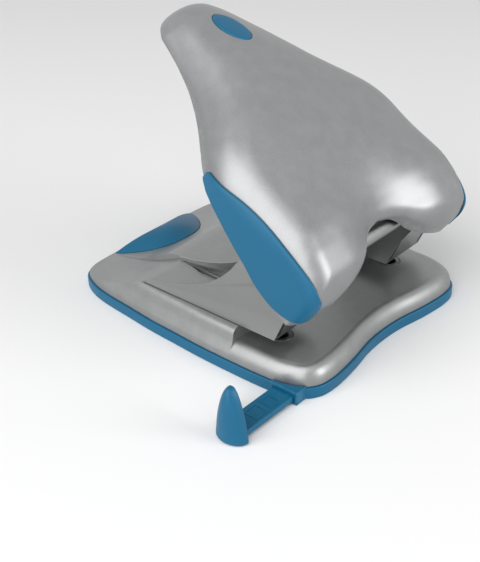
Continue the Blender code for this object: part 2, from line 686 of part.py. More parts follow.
def make_base_plate(material):
    """Make the stepped steel plate under the cover."""
    low_top = TABLE_HEIGHT - COVER_SHEET - GAP
    high_top = DECK_HEIGHT - COVER_SHEET - GAP
    riser = PAPER_EDGE + COVER_SHEET + GAP
    outline = [
        (-PLATE_FRONT, low_top - PLATE_SHEET), (riser + PLATE_SHEET, low_top - PLATE_SHEET),
        (riser + PLATE_SHEET, high_top - PLATE_SHEET), (PLATE_REAR, high_top - PLATE_SHEET),
        (PLATE_REAR, high_top), (riser, high_top), (riser, low_top), (-PLATE_FRONT, low_top),
    ]
    plate = prism_x("base_plate", outline, -PLATE_HALF_WIDTH, PLATE_HALF_WIDTH, material)
    for way in (-1, 1):
        hole = cylinder_z(f"plate_die_cut_{way + 2}", DIE_RADIUS + GAP, low_top - PLATE_SHEET - OVERRUN,
                          low_top + OVERRUN, (way * PIN_SIDE, 0.0))
        combine(plate, hole, "DIFFERENCE")
    for way, number, x, y in rivet_places():
        hole = cylinder_z(f"plate_rivet_cut_{way + 2}_{number}", RIVET_HOLE_RADIUS,
                          high_top - PLATE_SHEET - OVERRUN, high_top + OVERRUN, (x, y), COARSE_STEPS)
        combine(plate, hole, "DIFFERENCE")
    return plate


def make_die(name, way, material):
    """Make a flanged die bush, flush with the paper table."""
    flange_top = TABLE_HEIGHT - COVER_SHEET - GAP - PLATE_SHEET - GAP
    low = flange_top - DIE_FLANGE_SHEET
    profile = (
        (DIE_RADIUS, TABLE_HEIGHT), (DIE_RADIUS, flange_top), (DIE_FLANGE_RADIUS, flange_top),
        (DIE_FLANGE_RADIUS, low), (DIE_RELIEF, low), (DIE_RELIEF, TABLE_HEIGHT - DIE_LAND - GAP),
        (DIE_BORE, TABLE_HEIGHT - DIE_LAND), (DIE_BORE, TABLE_HEIGHT),
    )
    return place(turned(name, profile, FINE_STEPS, material, bored=True), x=way * PIN_SIDE)


def flange_y(height):
    """Return the front edge's place along Y at a height above the bracket's underside."""
    return -BRACKET_FRONT - height * math.tan(FLANGE_LEAN)


def bracket_profile():
    """Return the (y, z) outline of a bracket's side wall."""
    points = [(flange_y(0.0), BRACKET_FLOOR)]
    ear_low = PIVOT_HEIGHT - BRACKET_FLOOR - EAR_RADIUS / 2
    points.append((flange_y(ear_low / 2), BRACKET_FLOOR + ear_low / 2))
    for step in range(EAR_STEPS + 1):
        angle = EAR_START + (EAR_END - EAR_START) * step / EAR_STEPS
        points.append((-PIVOT_FRONT + EAR_RADIUS * math.cos(angle),
                       PIVOT_HEIGHT + EAR_RADIUS * math.sin(angle)))
    points.append((SHOULDER_TOP_REACH, BRACKET_FLOOR + SHOULDER_TOP_HEIGHT))
    first = (SHOULDER_REACH, BRACKET_FLOOR + SHOULDER_HEIGHT)
    pull = (CURVE_PULL_REACH, BRACKET_FLOOR + CURVE_PULL_HEIGHT)
    last = (BRACKET_REAR, BRACKET_FLOOR + BRACKET_TAIL_HEIGHT)
    for step in range(CURVE_STEPS + 1):
        t = step / CURVE_STEPS
        weights = ((1 - t) ** 2, 2 * t * (1 - t), t ** 2)
        points.append(tuple(sum(w * v for w, v in zip(weights, values))
                            for values in zip(first, pull, last)))
    points.append((BRACKET_REAR, BRACKET_FLOOR))
    return list(reversed(points))


def make_bracket(name, way, material):
    """Make one folded steel tower with its leaning flange, slits and holes."""
    side = way * PIN_SIDE
    profile = bracket_profile()
    left = side - BRACKET_HALF_WIDTH
    right = side + BRACKET_HALF_WIDTH
    outer = prism_x(name, profile, right - BRACKET_SHEET, right, material)
    inner = prism_x(f"{name}_wall", profile, left, left + BRACKET_SHEET)
    combine(outer, inner, "UNION")
    reach = BRACKET_HALF_WIDTH - BRACKET_SHEET / 2
    front = flange_y(0.0)
    floor_top = BRACKET_FLOOR + BRACKET_SHEET
    floor = prism_x(f"{name}_floor", [
        (front, BRACKET_FLOOR), (BRACKET_FLOOR_REAR, BRACKET_FLOOR), (BRACKET_FLOOR_REAR, floor_top),
        (flange_y(BRACKET_SHEET), floor_top),
    ], side - reach, side + reach)
    combine(outer, floor, "UNION")
    across = BRACKET_SHEET / math.cos(FLANGE_LEAN)
    half = BRACKET_HALF_WIDTH - BRACKET_SHEET - FLANGE_SLIT
    flange = prism_x(f"{name}_flange", [
        (front, BRACKET_FLOOR), (front + across, BRACKET_FLOOR),
        (flange_y(FLANGE_HEIGHT) + across, BRACKET_FLOOR + FLANGE_HEIGHT),
        (flange_y(FLANGE_HEIGHT), BRACKET_FLOOR + FLANGE_HEIGHT),
    ], side - half, side + half)
    combine(outer, flange, "UNION")
    shaft = cylinder_x(f"{name}_shaft_cut", SHAFT_RADIUS + GAP, left - OVERRUN, right + OVERRUN,
                       (-PIVOT_FRONT, PIVOT_HEIGHT))
    combine(outer, shaft, "DIFFERENCE")
    bush = cylinder_z(f"{name}_bush_cut", GUIDE_BUSH_RADIUS + GAP, BRACKET_FLOOR - OVERRUN,
                      BRACKET_FLOOR + OVERRUN, (side, 0.0))
    combine(outer, bush, "DIFFERENCE")
    for rivet_way, number, x, y in rivet_places():
        if rivet_way == way:
            hole = cylinder_z(f"{name}_rivet_cut_{number}", RIVET_HOLE_RADIUS, BRACKET_FLOOR - OVERRUN,
                              BRACKET_FLOOR + OVERRUN, (x, y), COARSE_STEPS)
            combine(outer, hole, "DIFFERENCE")
    return outer


def make_rivet(name, x, y, material):
    """Make a rivet through the bracket floor, the cover and the plate."""
    top = BRACKET_FLOOR + BRACKET_SHEET + GAP
    under = DECK_HEIGHT - COVER_SHEET - GAP - PLATE_SHEET - GAP
    crown = RIVET_HEAD_RADIUS * RIVET_CROWN_SHARE
    profile = (
        (crown, under - RIVET_HEAD_HEIGHT), (RIVET_HEAD_RADIUS, under - RIVET_HEAD_HEIGHT / 2),
        (RIVET_HEAD_RADIUS, under), (RIVET_RADIUS, under), (RIVET_RADIUS, top), (RIVET_HEAD_RADIUS, top),
        (RIVET_HEAD_RADIUS, top + RIVET_HEAD_HEIGHT / 2), (crown, top + RIVET_HEAD_HEIGHT),
    )
    return place(turned(name, profile, COARSE_STEPS, material), x=x, y=y)


def make_pin_guide(name, way, material):
    """Make the flanged bush that guides a pin in the bracket floor."""
    flange_low = BRACKET_FLOOR + BRACKET_SHEET + GAP
    flange_top = flange_low + GUIDE_FLANGE_SHEET
    top = BRACKET_FLOOR + GUIDE_BUSH_HEIGHT
    profile = (
        (GUIDE_BUSH_BORE, BRACKET_FLOOR), (GUIDE_BUSH_RADIUS, BRACKET_FLOOR),
        (GUIDE_BUSH_RADIUS, flange_low), (GUIDE_FLANGE_RADIUS, flange_low),
        (GUIDE_FLANGE_RADIUS, flange_top), (GUIDE_BUSH_RADIUS, flange_top),
        (GUIDE_BUSH_RADIUS, top), (GUIDE_BUSH_BORE, top),
    )
    return place(turned(name, profile, FINE_STEPS, material, bored=True), x=way * PIN_SIDE)


def make_pin(name, way, material):
    """Make a punch pin, with a groove for its clip, on its own axis."""
    low = BRACKET_FLOOR + PIN_RETRACTED
    groove_top = PIN_TOP - PIN_GROOVE_DROP
    groove_low = groove_top - PIN_CLIP_SHEET - 2 * CLIP_PLAY
    neck = PIN_RADIUS - PIN_GROOVE_DEPTH
    profile = (
        (PIN_RADIUS, low), (PIN_RADIUS, groove_low), (neck, groove_low), (neck, groove_top),
        (PIN_RADIUS, groove_top), (PIN_RADIUS, PIN_TOP - PIN_CHAMFER), (PIN_RADIUS - PIN_CHAMFER, PIN_TOP),
    )
    return place(turned(name, profile, FINE_STEPS, material), x=way * PIN_SIDE)


def pin_clip_low():
    """Return the height of a pin clip's underside."""
    return PIN_TOP - PIN_GROOVE_DROP - CLIP_PLAY - PIN_CLIP_SHEET


def clip_outline(inner, outer):
    """Return the outline of a retaining ring with an opening at the bottom."""
    start = -math.pi / 2 + CLIP_OPENING_ANGLE / 2
    turn = 2 * math.pi - CLIP_OPENING_ANGLE
    angles = [start + turn * step / CLIP_STEPS for step in range(CLIP_STEPS + 1)]
    outline = [(outer * math.cos(a), outer * math.sin(a)) for a in angles]
    outline += [(inner * math.cos(a), inner * math.sin(a)) for a in reversed(angles)]
    return outline


def make_pin_clip(name, way, material):
    """Make the retaining ring on which a return spring bears."""
    low = pin_clip_low()
    inner = PIN_RADIUS - PIN_GROOVE_DEPTH + GAP
    return place(prism_z(name, clip_outline(inner, PIN_CLIP_RADIUS), low, low + PIN_CLIP_SHEET, material),
                 x=way * PIN_SIDE)


def spring_points(low, high):
    """Return the centre line of a return spring, whose ends stand straight on their seats."""
    stub = 2 * SPRING_WIRE_RADIUS
    first = low + stub
    last = high - stub
    total = SPRING_CURLS * SPRING_CURL_POINTS
    points = [(SPRING_RADIUS, 0.0, low)]
    for step in range(total + 1):
        angle = 2 * math.pi * step / SPRING_CURL_POINTS
        height = first + (last - first) * step / total
        points.append((SPRING_RADIUS * math.cos(angle), SPRING_RADIUS * math.sin(angle), height))
    points.append((SPRING_RADIUS, 0.0, high))
    return points


def spring_clearance(points):
    """Return the least gap between two curls of a spring."""
    least = math.inf
    for index, point in enumerate(points):
        for other in points[index + SPRING_CURL_POINTS - 2:]:
            least = min(least, (Vector(point) - Vector(other)).length)
    return least - 2 * SPRING_WIRE_RADIUS


def make_spring(name, way, material):
    """Make a return spring from the guide's flange up to the pin's clip."""
    low = BRACKET_FLOOR + BRACKET_SHEET + GAP + GUIDE_FLANGE_SHEET + GAP
    high = pin_clip_low() - GAP
    points = spring_points(low, high)
    print(f"{name}: least gap between curls {spring_clearance(points):.5f} m")
    curve = bpy.data.curves.new(name, "CURVE")
    curve.dimensions = "3D"
    curve.bevel_depth = SPRING_WIRE_RADIUS
    curve.bevel_resolution = 1
    curve.use_fill_caps = True
    line = curve.splines.new("POLY")
    line.points.add(len(points) - 1)
    for spot, point in zip(line.points, points):
        spot.co = (*point, 1.0)
    curve.materials.append(material)
    item = bpy.data.objects.new(name, curve)
    bpy.context.collection.objects.link(item)
    return place(item, x=way * PIN_SIDE)


def shaft_clip_low():
    """Return the inner face's distance of a shaft clip from the middle plane."""
    return PIN_SIDE - BRACKET_HALF_WIDTH - GAP - CLIP_SHEET


def make_shaft(material):
    """Make the pivot shaft with two clip grooves and chamfered ends."""
    half = PIN_SIDE + BRACKET_HALF_WIDTH - GAP
    groove_low = shaft_clip_low() - CLIP_PLAY
    groove_high = shaft_clip_low() + CLIP_SHEET + CLIP_PLAY
    places = (
        (SHAFT_RADIUS - SHAFT_CHAMFER, half), (SHAFT_RADIUS, half - SHAFT_CHAMFER),
        (SHAFT_RADIUS, groove_high), (CLIP_GROOVE_RADIUS, groove_high),
        (CLIP_GROOVE_RADIUS, groove_low), (SHAFT_RADIUS, groove_low),
    )
    both = [(radius, -x) for radius, x in places] + [(radius, x) for radius, x in reversed(places)]
    rings = [[(x, a, b) for a, b in circle(radius, FINE_STEPS)] for radius, x in both]
    return place(rings_object("pivot_shaft", rings, material), y=-PIVOT_FRONT, z=PIVOT_HEIGHT)


def make_shaft_clip(name, way, material):
    """Make the retaining ring that keeps the shaft beside a bracket."""
    low, high = sorted((way * shaft_clip_low(), way * (shaft_clip_low() + CLIP_SHEET)))
    outline = clip_outline(CLIP_GROOVE_RADIUS + GAP, CLIP_RADIUS)
    return place(prism_x(name, outline, low, high, material), y=-PIVOT_FRONT, z=PIVOT_HEIGHT)


def lever_axis():
    """Make the empty on the pivot, turned to the lever's raised position."""
    axis = bpy.data.objects.new("lever_axis", None)
    bpy.context.collection.objects.link(axis)
    axis.location = (0.0, -PIVOT_FRONT, PIVOT_HEIGHT)
    axis.rotation_euler = (REST_LIFT, 0.0, 0.0)
    return axis


def nose_point(press):
    """Return the place on the arm's nose that touches the pin when the lever is pressed that far.

    The nose is the involute of a circle of the pivot's distance, so that the pin moves in step with
    the lever and is always pressed on its own axis.
    """
    arm = PIVOT_FRONT
    drop = PIVOT_HEIGHT - PIN_TOP - GAP + arm * press
    angle = press - REST_LIFT
    return (arm * math.cos(angle) + drop * math.sin(angle), arm * math.sin(angle) - drop * math.cos(angle))


def arm_outline():
    """Return an arm's side outline in the lever's own frame, along and up."""
    points = []
    for step in range(HUB_STEPS + 1):
        angle = HUB_START + (HUB_END - HUB_START) * step / HUB_STEPS
        points.append((HUB_RADIUS * math.cos(angle), HUB_RADIUS * math.sin(angle)))
    first = nose_point(-NOSE_MARGIN)
    web = HUB_RADIUS / 2
    points.append((first[0] - web, first[1] + web))
    for step in range(NOSE_STEPS):
        press = -NOSE_MARGIN + (PRESS_ANGLE + 2 * NOSE_MARGIN) * step / (NOSE_STEPS - 1)
        points.append(nose_point(press))
    last = points[-1]
    points.append((last[0] + web, last[1] + web / 2))
    points.append((last[0] + HUB_RADIUS, last[1] + HUB_RADIUS))
    points.append((FRAME_REACH * WEB_START_SHARE, FRAME_DROP))
    points.append((FRAME_REACH * WEB_END_SHARE, FRAME_DROP + FRAME_SHEET))
    points.append((-HUB_RADIUS, FRAME_DROP + FRAME_SHEET))
    points.append((-HUB_RADIUS, FRAME_DROP - web))
    return points


def mirrored_outline(right):
    """Return a closed outline from the points of its right half, front to rear."""
    left = [(-x, y) for x, y in reversed(right[1:-1])]
    return right + left


def make_lever_frame(axis, material):
    """Make the steel frame: two arms with pin noses, and a plate that carries the cover."""
    half = PIN_SIDE + ARM_SHEET / 2
    plan = mirrored_outline([(x * half, y * FRAME_REACH) for x, y in FRAME_PLAN_SHARES])
    frame = prism_z("lever_frame", plan, FRAME_DROP, FRAME_DROP + FRAME_SHEET, material)
    frame.parent = axis
    for way in (-1, 1):
        low = way * PIN_SIDE - ARM_SHEET / 2
        arm = prism_x(f"arm_body_{way + 2}", arm_outline(), low, low + ARM_SHEET)
        combine(frame, arm, "UNION")
    bore = cylinder_x("arm_bore_cut", SHAFT_RADIUS + GAP, -half - OVERRUN, half + OVERRUN, (0.0, 0.0))
    combine(frame, bore, "DIFFERENCE")
    for number, (x, along) in enumerate(SCREW_PLACES, start=1):
        hole = cylinder_z(f"frame_screw_cut_{number}", SCREW_HOLE_RADIUS, FRAME_DROP - OVERRUN,
                          FRAME_DROP + FRAME_SHEET + OVERRUN, (x, along), COARSE_STEPS)
        combine(frame, hole, "DIFFERENCE")
    return frame


def smooth_share(value):
    """Return a share that starts and ends without a corner."""
    value = min(max(value, 0.0), 1.0)
    return value * value * (3 - 2 * value)


def top_height(x, along):
    """Return the height of the lever cover's top before its edge is rounded."""
    share = along / LEVER_REACH
    middle = interpolate(TOP_ROWS, share, 1)
    lobe = interpolate(TOP_ROWS, share, 2)
    mix = smooth_share(abs(x) / LEVER_HALF_WIDTH / LOBE_PLACE_SHARE)
    width = interpolate(SIDE_ROWS, share, 1) * LEVER_HALF_WIDTH
    growth = FRONT_CROWN_SHARE + (1 - FRONT_CROWN_SHARE) * smooth_share(share / CROWN_GROWTH_SHARE)
    crown = LEVER_CROWN * growth * min((x / width) ** 2, 1.0)
    return (middle + (lobe - middle) * mix) * LEVER_HALF_WIDTH - crown


def grid_place(column, row):
    """Return the place across and along of a grid point of the lever cover."""
    last = SIDE_ROWS[-1][0]
    front = interpolate(FRONT_ROWS, abs(column), 1)
    tip = interpolate(TIP_ROWS, abs(column), 1)
    width = interpolate(SIDE_ROWS, last * row, 1)
    return (column * width * LEVER_HALF_WIDTH, (front + (tip - front) * row) * LEVER_REACH)


def rim_values(column, row):
    """Return the rim's height and edge round at a grid point on the rim."""
    last = SIDE_ROWS[-1][0]
    if row == 0.0:
        rows, share = FRONT_ROWS, abs(column)
    elif row == 1.0:
        rows, share = TIP_ROWS, abs(column)
    else:
        rows, share = SIDE_ROWS, last * row
    return tuple(interpolate(rows, share, which) * LEVER_HALF_WIDTH for which in (2, 3))


def nearest_on_rim(place_2d, rim):
    """Return the distance to the rim, and the rim's height and edge round there."""
    best = (math.inf, 0.0, 0.0)
    for start, end in zip(rim, rim[1:] + rim[:1]):
        span = Vector((end[0] - start[0], end[1] - start[1]))
        offset = Vector((place_2d[0] - start[0], place_2d[1] - start[1]))
        share = min(max(offset.dot(span) / span.length_squared, 0.0), 1.0)
        distance = (offset - span * share).length
        if distance < best[0]:
            best = (distance, start[2] + (end[2] - start[2]) * share, start[3] + (end[3] - start[3]) * share)
    return best


def lever_grid():
    """Return the grid's columns and rows, and the rim that goes round them."""
    columns = [-share for share in reversed(LEVER_COLUMN_SHARES[1:])] + list(LEVER_COLUMN_SHARES)
    rows = list(LEVER_ROW_SHARES)
    keys = [(column, 0.0) for column in columns]
    keys += [(1.0, row) for row in rows[1:]]
    keys += [(column, 1.0) for column in reversed(columns[:-1])]
    keys += [(-1.0, row) for row in reversed(rows[1:-1])]
    return columns, rows, keys


def make_lever_cover(axis, material):
    """Make the moulded cover as one sheet with a rounded edge, lobes and arch, and give it a wall."""
    columns, rows, keys = lever_grid()
    rim = [(*grid_place(*key), *rim_values(*key)) for key in keys]
    mesh_bm = bmesh.new()
    made = {}
    for row in rows:
        for column in columns:
            x, along = grid_place(column, row)
            distance, low, edge = nearest_on_rim((x, along), rim)
            top = top_height(x, along)
            edge = min(edge, top - low)
            inside = min(max(1 - distance / edge, 0.0), 1.0)
            round_drop = edge * (1 - math.sqrt(1 - inside ** 2))
            made[column, row] = mesh_bm.verts.new((x, along, top - round_drop))
    for row, further in zip(rows, rows[1:]):
        for column, across in zip(columns, columns[1:]):
            corners = ((column, row), (across, row), (across, further), (column, further))
            mesh_bm.faces.new([made[key] for key in corners])
    foot = [mesh_bm.verts.new((x, along, low)) for x, along, low, _ in rim]
    for index, key in enumerate(keys):
        after = (index + 1) % len(keys)
        mesh_bm.faces.new((foot[index], foot[after], made[keys[after]], made[key]))
    cover = mesh_object("lever_cover", mesh_bm, material)
    cover.parent = axis
    wall = cover.modifiers.new("wall", "SOLIDIFY")
    wall.thickness = LEVER_SHEET
    wall.offset = -1.0
    wall.use_even_offset = True
    for number, (x, along) in enumerate(SCREW_PLACES, start=1):
        low = FRAME_DROP + FRAME_SHEET + GAP
        top = top_height(x, along) - LEVER_SHEET / 2
        boss = cylinder_z(f"boss_body_{number}", BOSS_RADIUS, low, top, (x, along), COARSE_STEPS)
        combine(cover, boss, "UNION")
        hole = cylinder_z(f"boss_cut_{number}", SCREW_HOLE_RADIUS, low - OVERRUN, low + SCREW_REACH + GAP,
                          (x, along), COARSE_STEPS)
        combine(cover, hole, "DIFFERENCE")
    oval = oval_solid("oval_cut", GAP, OVERRUN)
    combine(cover, oval, "DIFFERENCE")
    place_oval(oval)
    return cover


def oval_solid(name, grow, reach, material=None):
    """Make an oval plug round its own middle."""
    outline = []
    for step in range(OVAL_STEPS):
        angle = 2 * math.pi * (step + 0.5) / OVAL_STEPS
        outline.append(((OVAL_HALF_WIDTH + grow) * math.cos(angle),
                        (OVAL_HALF_LENGTH + grow) * math.sin(angle)))
    if material is None:
        return prism_z(name, outline, -OVAL_SHEET - reach, OVAL_PROUD + reach)
    edge = OVAL_PROUD / 2
    rings = [[(x, y, -OVAL_SHEET) for x, y in outline], [(x, y, -edge) for x, y in outline]]
    rings.append([(x, y, edge) for x, y in inset(outline, edge)])
    rings.append([(x, y, OVAL_PROUD) for x, y in inset(outline, OVAL_HALF_WIDTH / 3)])
    return rings_object(name, rings, material)


def place_oval(item):
    """Set the oval on the cover's top, tilted as the top is there."""
    low = top_height(0.0, OVAL_ALONG - OVAL_HALF_LENGTH)
    high = top_height(0.0, OVAL_ALONG + OVAL_HALF_LENGTH)
    tilt = math.atan2(high - low, 2 * OVAL_HALF_LENGTH)
    item.location = (0.0, OVAL_ALONG, (low + high) / 2)
    item.rotation_euler = (tilt, 0.0, 0.0)


def make_side_trim(name, way, axis, sheet_mesh, material):
    """Make a leaf-shaped trim that follows the cover's side."""
    trim = bpy.data.objects.new(name, sheet_mesh.copy())
    bpy.context.collection.objects.link(trim)
    trim.data.materials.clear()
    trim.data.materials.append(material)
    trim.parent = axis
    lift = trim.modifiers.new("lift", "DISPLACE")
    lift.direction = "NORMAL"
    lift.mid_level = 0.0
    lift.strength = GAP
    wall = trim.modifiers.new("wall", "SOLIDIFY")
    wall.thickness = TRIM_SHEET
    wall.offset = 1.0
    wall.use_even_offset = True
    leaf = spline([(a * LEVER_REACH, h * LEVER_HALF_WIDTH) for a, h in TRIM_SHARES], TRIM_STEPS, closed=True)
    low, high = sorted((way * LEVER_HALF_WIDTH * TRIM_INNER_SHARE, way * (LEVER_HALF_WIDTH + OVERRUN)))
    combine(trim, prism_x(f"{name}_outline", leaf, low, high), "INTERSECT")
    return trim


def make_cover_screw(name, x, along, axis, material):
    """Make a screw from under the frame's plate up into its boss."""
    head_top = FRAME_DROP - GAP
    tip = FRAME_DROP + FRAME_SHEET + SCREW_REACH
    profile = (
        (SCREW_HEAD_RADIUS, head_top - SCREW_HEAD_HEIGHT), (SCREW_HEAD_RADIUS, head_top),
        (SCREW_RADIUS, head_top), (SCREW_RADIUS, tip),
    )
    screw = place(turned(name, profile, COARSE_STEPS, material), x=x, y=along)
    screw.parent = axis
    return screw


def make_paper_guide(material):
    """Make the sliding bar with its rounded end stop."""
    low = TRAY_FLOOR + GAP
    high = low + GUIDE_HEIGHT
    near = -GUIDE_CENTRE + GUIDE_WIDTH / 2
    far = -GUIDE_CENTRE - GUIDE_WIDTH / 2
    start = -GUIDE_FIN_INNER - FIN_BULGE / 2
    bar = prism_z("paper_guide", [
        (start, far), (GUIDE_INNER_END, far), (GUIDE_INNER_END, near), (start, near),
    ], low, high, material)
    rings = []
    for up, wide, deep in FIN_SHARES:
        ring = []
        for step in range(FIN_ARC_STEPS + 1):
            angle = math.pi * step / FIN_ARC_STEPS
            ring.append((-GUIDE_FIN_INNER - FIN_BULGE * deep * math.sin(angle),
                         -FIN_CENTRE + FIN_HALF_WIDTH * wide * math.cos(angle), GAP + FIN_HEIGHT * up))
        rings.append(ring)
    fin = rings_object("guide_fin_body", rings)
    combine(bar, fin, "UNION")
    return bar


def main():
    """Build every piece of the punch."""
    clear_scene()
    teal = make_material("teal_plastic", (0.013, 0.13, 0.26), 0.45, 0.0)
    silver = make_material("silver_paint", (0.50, 0.51, 0.52), 0.35, 0.85)
    steel = make_material("plated_steel", (0.46, 0.47, 0.48), 0.40, 0.95)
    dark_steel = make_material("hardened_steel", (0.16, 0.165, 0.17), 0.35, 0.95)
    make_tray(teal)
    make_base_cover(silver)
    make_pad(teal)
    make_base_plate(steel)
    make_paper_guide(teal)
    axis = lever_axis()
    for side, way in (("left", -1), ("right", 1)):
        make_bracket(f"{side}_bracket", way, steel)
        make_die(f"{side}_die", way, dark_steel)
        make_pin_guide(f"{side}_pin_guide", way, dark_steel)
        make_pin(f"{side}_punch_pin", way, dark_steel)
        make_pin_clip(f"{side}_pin_clip", way, dark_steel)
        make_spring(f"{side}_return_spring", way, steel)
        make_shaft_clip(f"{side}_shaft_clip", way, dark_steel)
    for way, number, x, y in rivet_places():
        side = "left" if way < 0 else "right"
        make_rivet(f"{side}_bracket_rivet_{number}", x, y, steel)
    make_shaft(steel)
    make_lever_frame(axis, steel)
    cover = make_lever_cover(axis, silver)
    make_side_trim("left_side_trim", -1, axis, cover.data, teal)
    make_side_trim("right_side_trim", 1, axis, cover.data, teal)
    oval = oval_solid("oval_inlay", 0.0, 0.0, teal)
    oval.parent = axis
    place_oval(oval)
    for number, (x, along) in enumerate(SCREW_PLACES, start=1):
        make_cover_screw(f"cover_screw_{number}", x, along, axis, dark_steel)


main()
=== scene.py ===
"""Finishes, finer visible pieces, studio and camera for the two-hole punch, round its solids."""

import json
import logging
import math
from collections.abc import Iterator
from contextlib import contextmanager
from dataclasses import dataclass
from enum import Enum

import bpy
from mathutils import Matrix, Vector
from mathutils.bvhtree import BVHTree


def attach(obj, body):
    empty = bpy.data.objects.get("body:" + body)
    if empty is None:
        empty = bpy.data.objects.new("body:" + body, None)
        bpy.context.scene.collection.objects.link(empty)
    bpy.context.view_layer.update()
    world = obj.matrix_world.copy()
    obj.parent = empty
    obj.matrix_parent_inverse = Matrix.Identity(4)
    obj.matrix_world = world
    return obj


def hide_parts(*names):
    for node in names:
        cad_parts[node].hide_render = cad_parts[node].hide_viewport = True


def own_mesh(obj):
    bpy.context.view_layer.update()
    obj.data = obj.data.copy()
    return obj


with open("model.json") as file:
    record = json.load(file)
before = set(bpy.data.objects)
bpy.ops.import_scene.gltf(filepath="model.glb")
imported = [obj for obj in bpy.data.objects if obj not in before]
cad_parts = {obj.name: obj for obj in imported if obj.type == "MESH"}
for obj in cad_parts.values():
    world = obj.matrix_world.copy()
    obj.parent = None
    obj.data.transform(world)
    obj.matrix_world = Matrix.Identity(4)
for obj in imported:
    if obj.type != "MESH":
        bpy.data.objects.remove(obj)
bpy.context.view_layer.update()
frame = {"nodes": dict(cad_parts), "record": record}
SUBPARTS = frame["record"]["subparts"]
BODIES = frame["record"]["behaviour"]["bodies"]
BODY_OF = {node: body for body, nodes in BODIES.items() for node in nodes}

LOG = logging.getLogger("hole_punch")
SIDES = ((-1, "left"), (1, "right"))

Colour = tuple[float, float, float]
Point = tuple[float, float, float]


class Slot(Enum):
    """The record's material slots."""

    TEAL_PLASTIC = "teal_plastic"
    SILVER_PLASTIC = "silver_plastic"
    SILVER_PAINT = "silver_paint"
    PLATED_STEEL = "plated_steel"
    HARDENED_STEEL = "hardened_steel"
    SPRING_STEEL = "spring_steel"


class Signal:
    """One output socket, on which arithmetic adds Math nodes."""

    def __init__(self, graph: "Graph", socket: bpy.types.NodeSocket) -> None:
        """Keep the socket and the graph that it belongs to."""
        self.graph = graph
        self.socket = socket

    def _math(self, operation: str, first: "Signal | float", second: "Signal | float") -> "Signal":
        """Return what a Math node makes of two values."""
        return self.graph.signal("ShaderNodeMath", {"operation": operation}, {0: first, 1: second})

    def __add__(self, other: "Signal | float") -> "Signal":
        """Return the sum."""
        return self._math("ADD", self, other)

    def __radd__(self, other: float) -> "Signal":
        """Return the sum with a number on the left."""
        return self._math("ADD", other, self)

    def __sub__(self, other: "Signal | float") -> "Signal":
        """Return the difference."""
        return self._math("SUBTRACT", self, other)

    def __rsub__(self, other: float) -> "Signal":
        """Return the difference from a number on the left."""
        return self._math("SUBTRACT", other, self)

    def __mul__(self, other: "Signal | float") -> "Signal":
        """Return the product."""
        return self._math("MULTIPLY", self, other)

    def __rmul__(self, other: float) -> "Signal":
        """Return the product with a number on the left."""
        return self._math("MULTIPLY", other, self)

    def at_least(self, other: "Signal | float") -> "Signal":
        """Return the larger of the two."""
        return self._math("MAXIMUM", self, other)


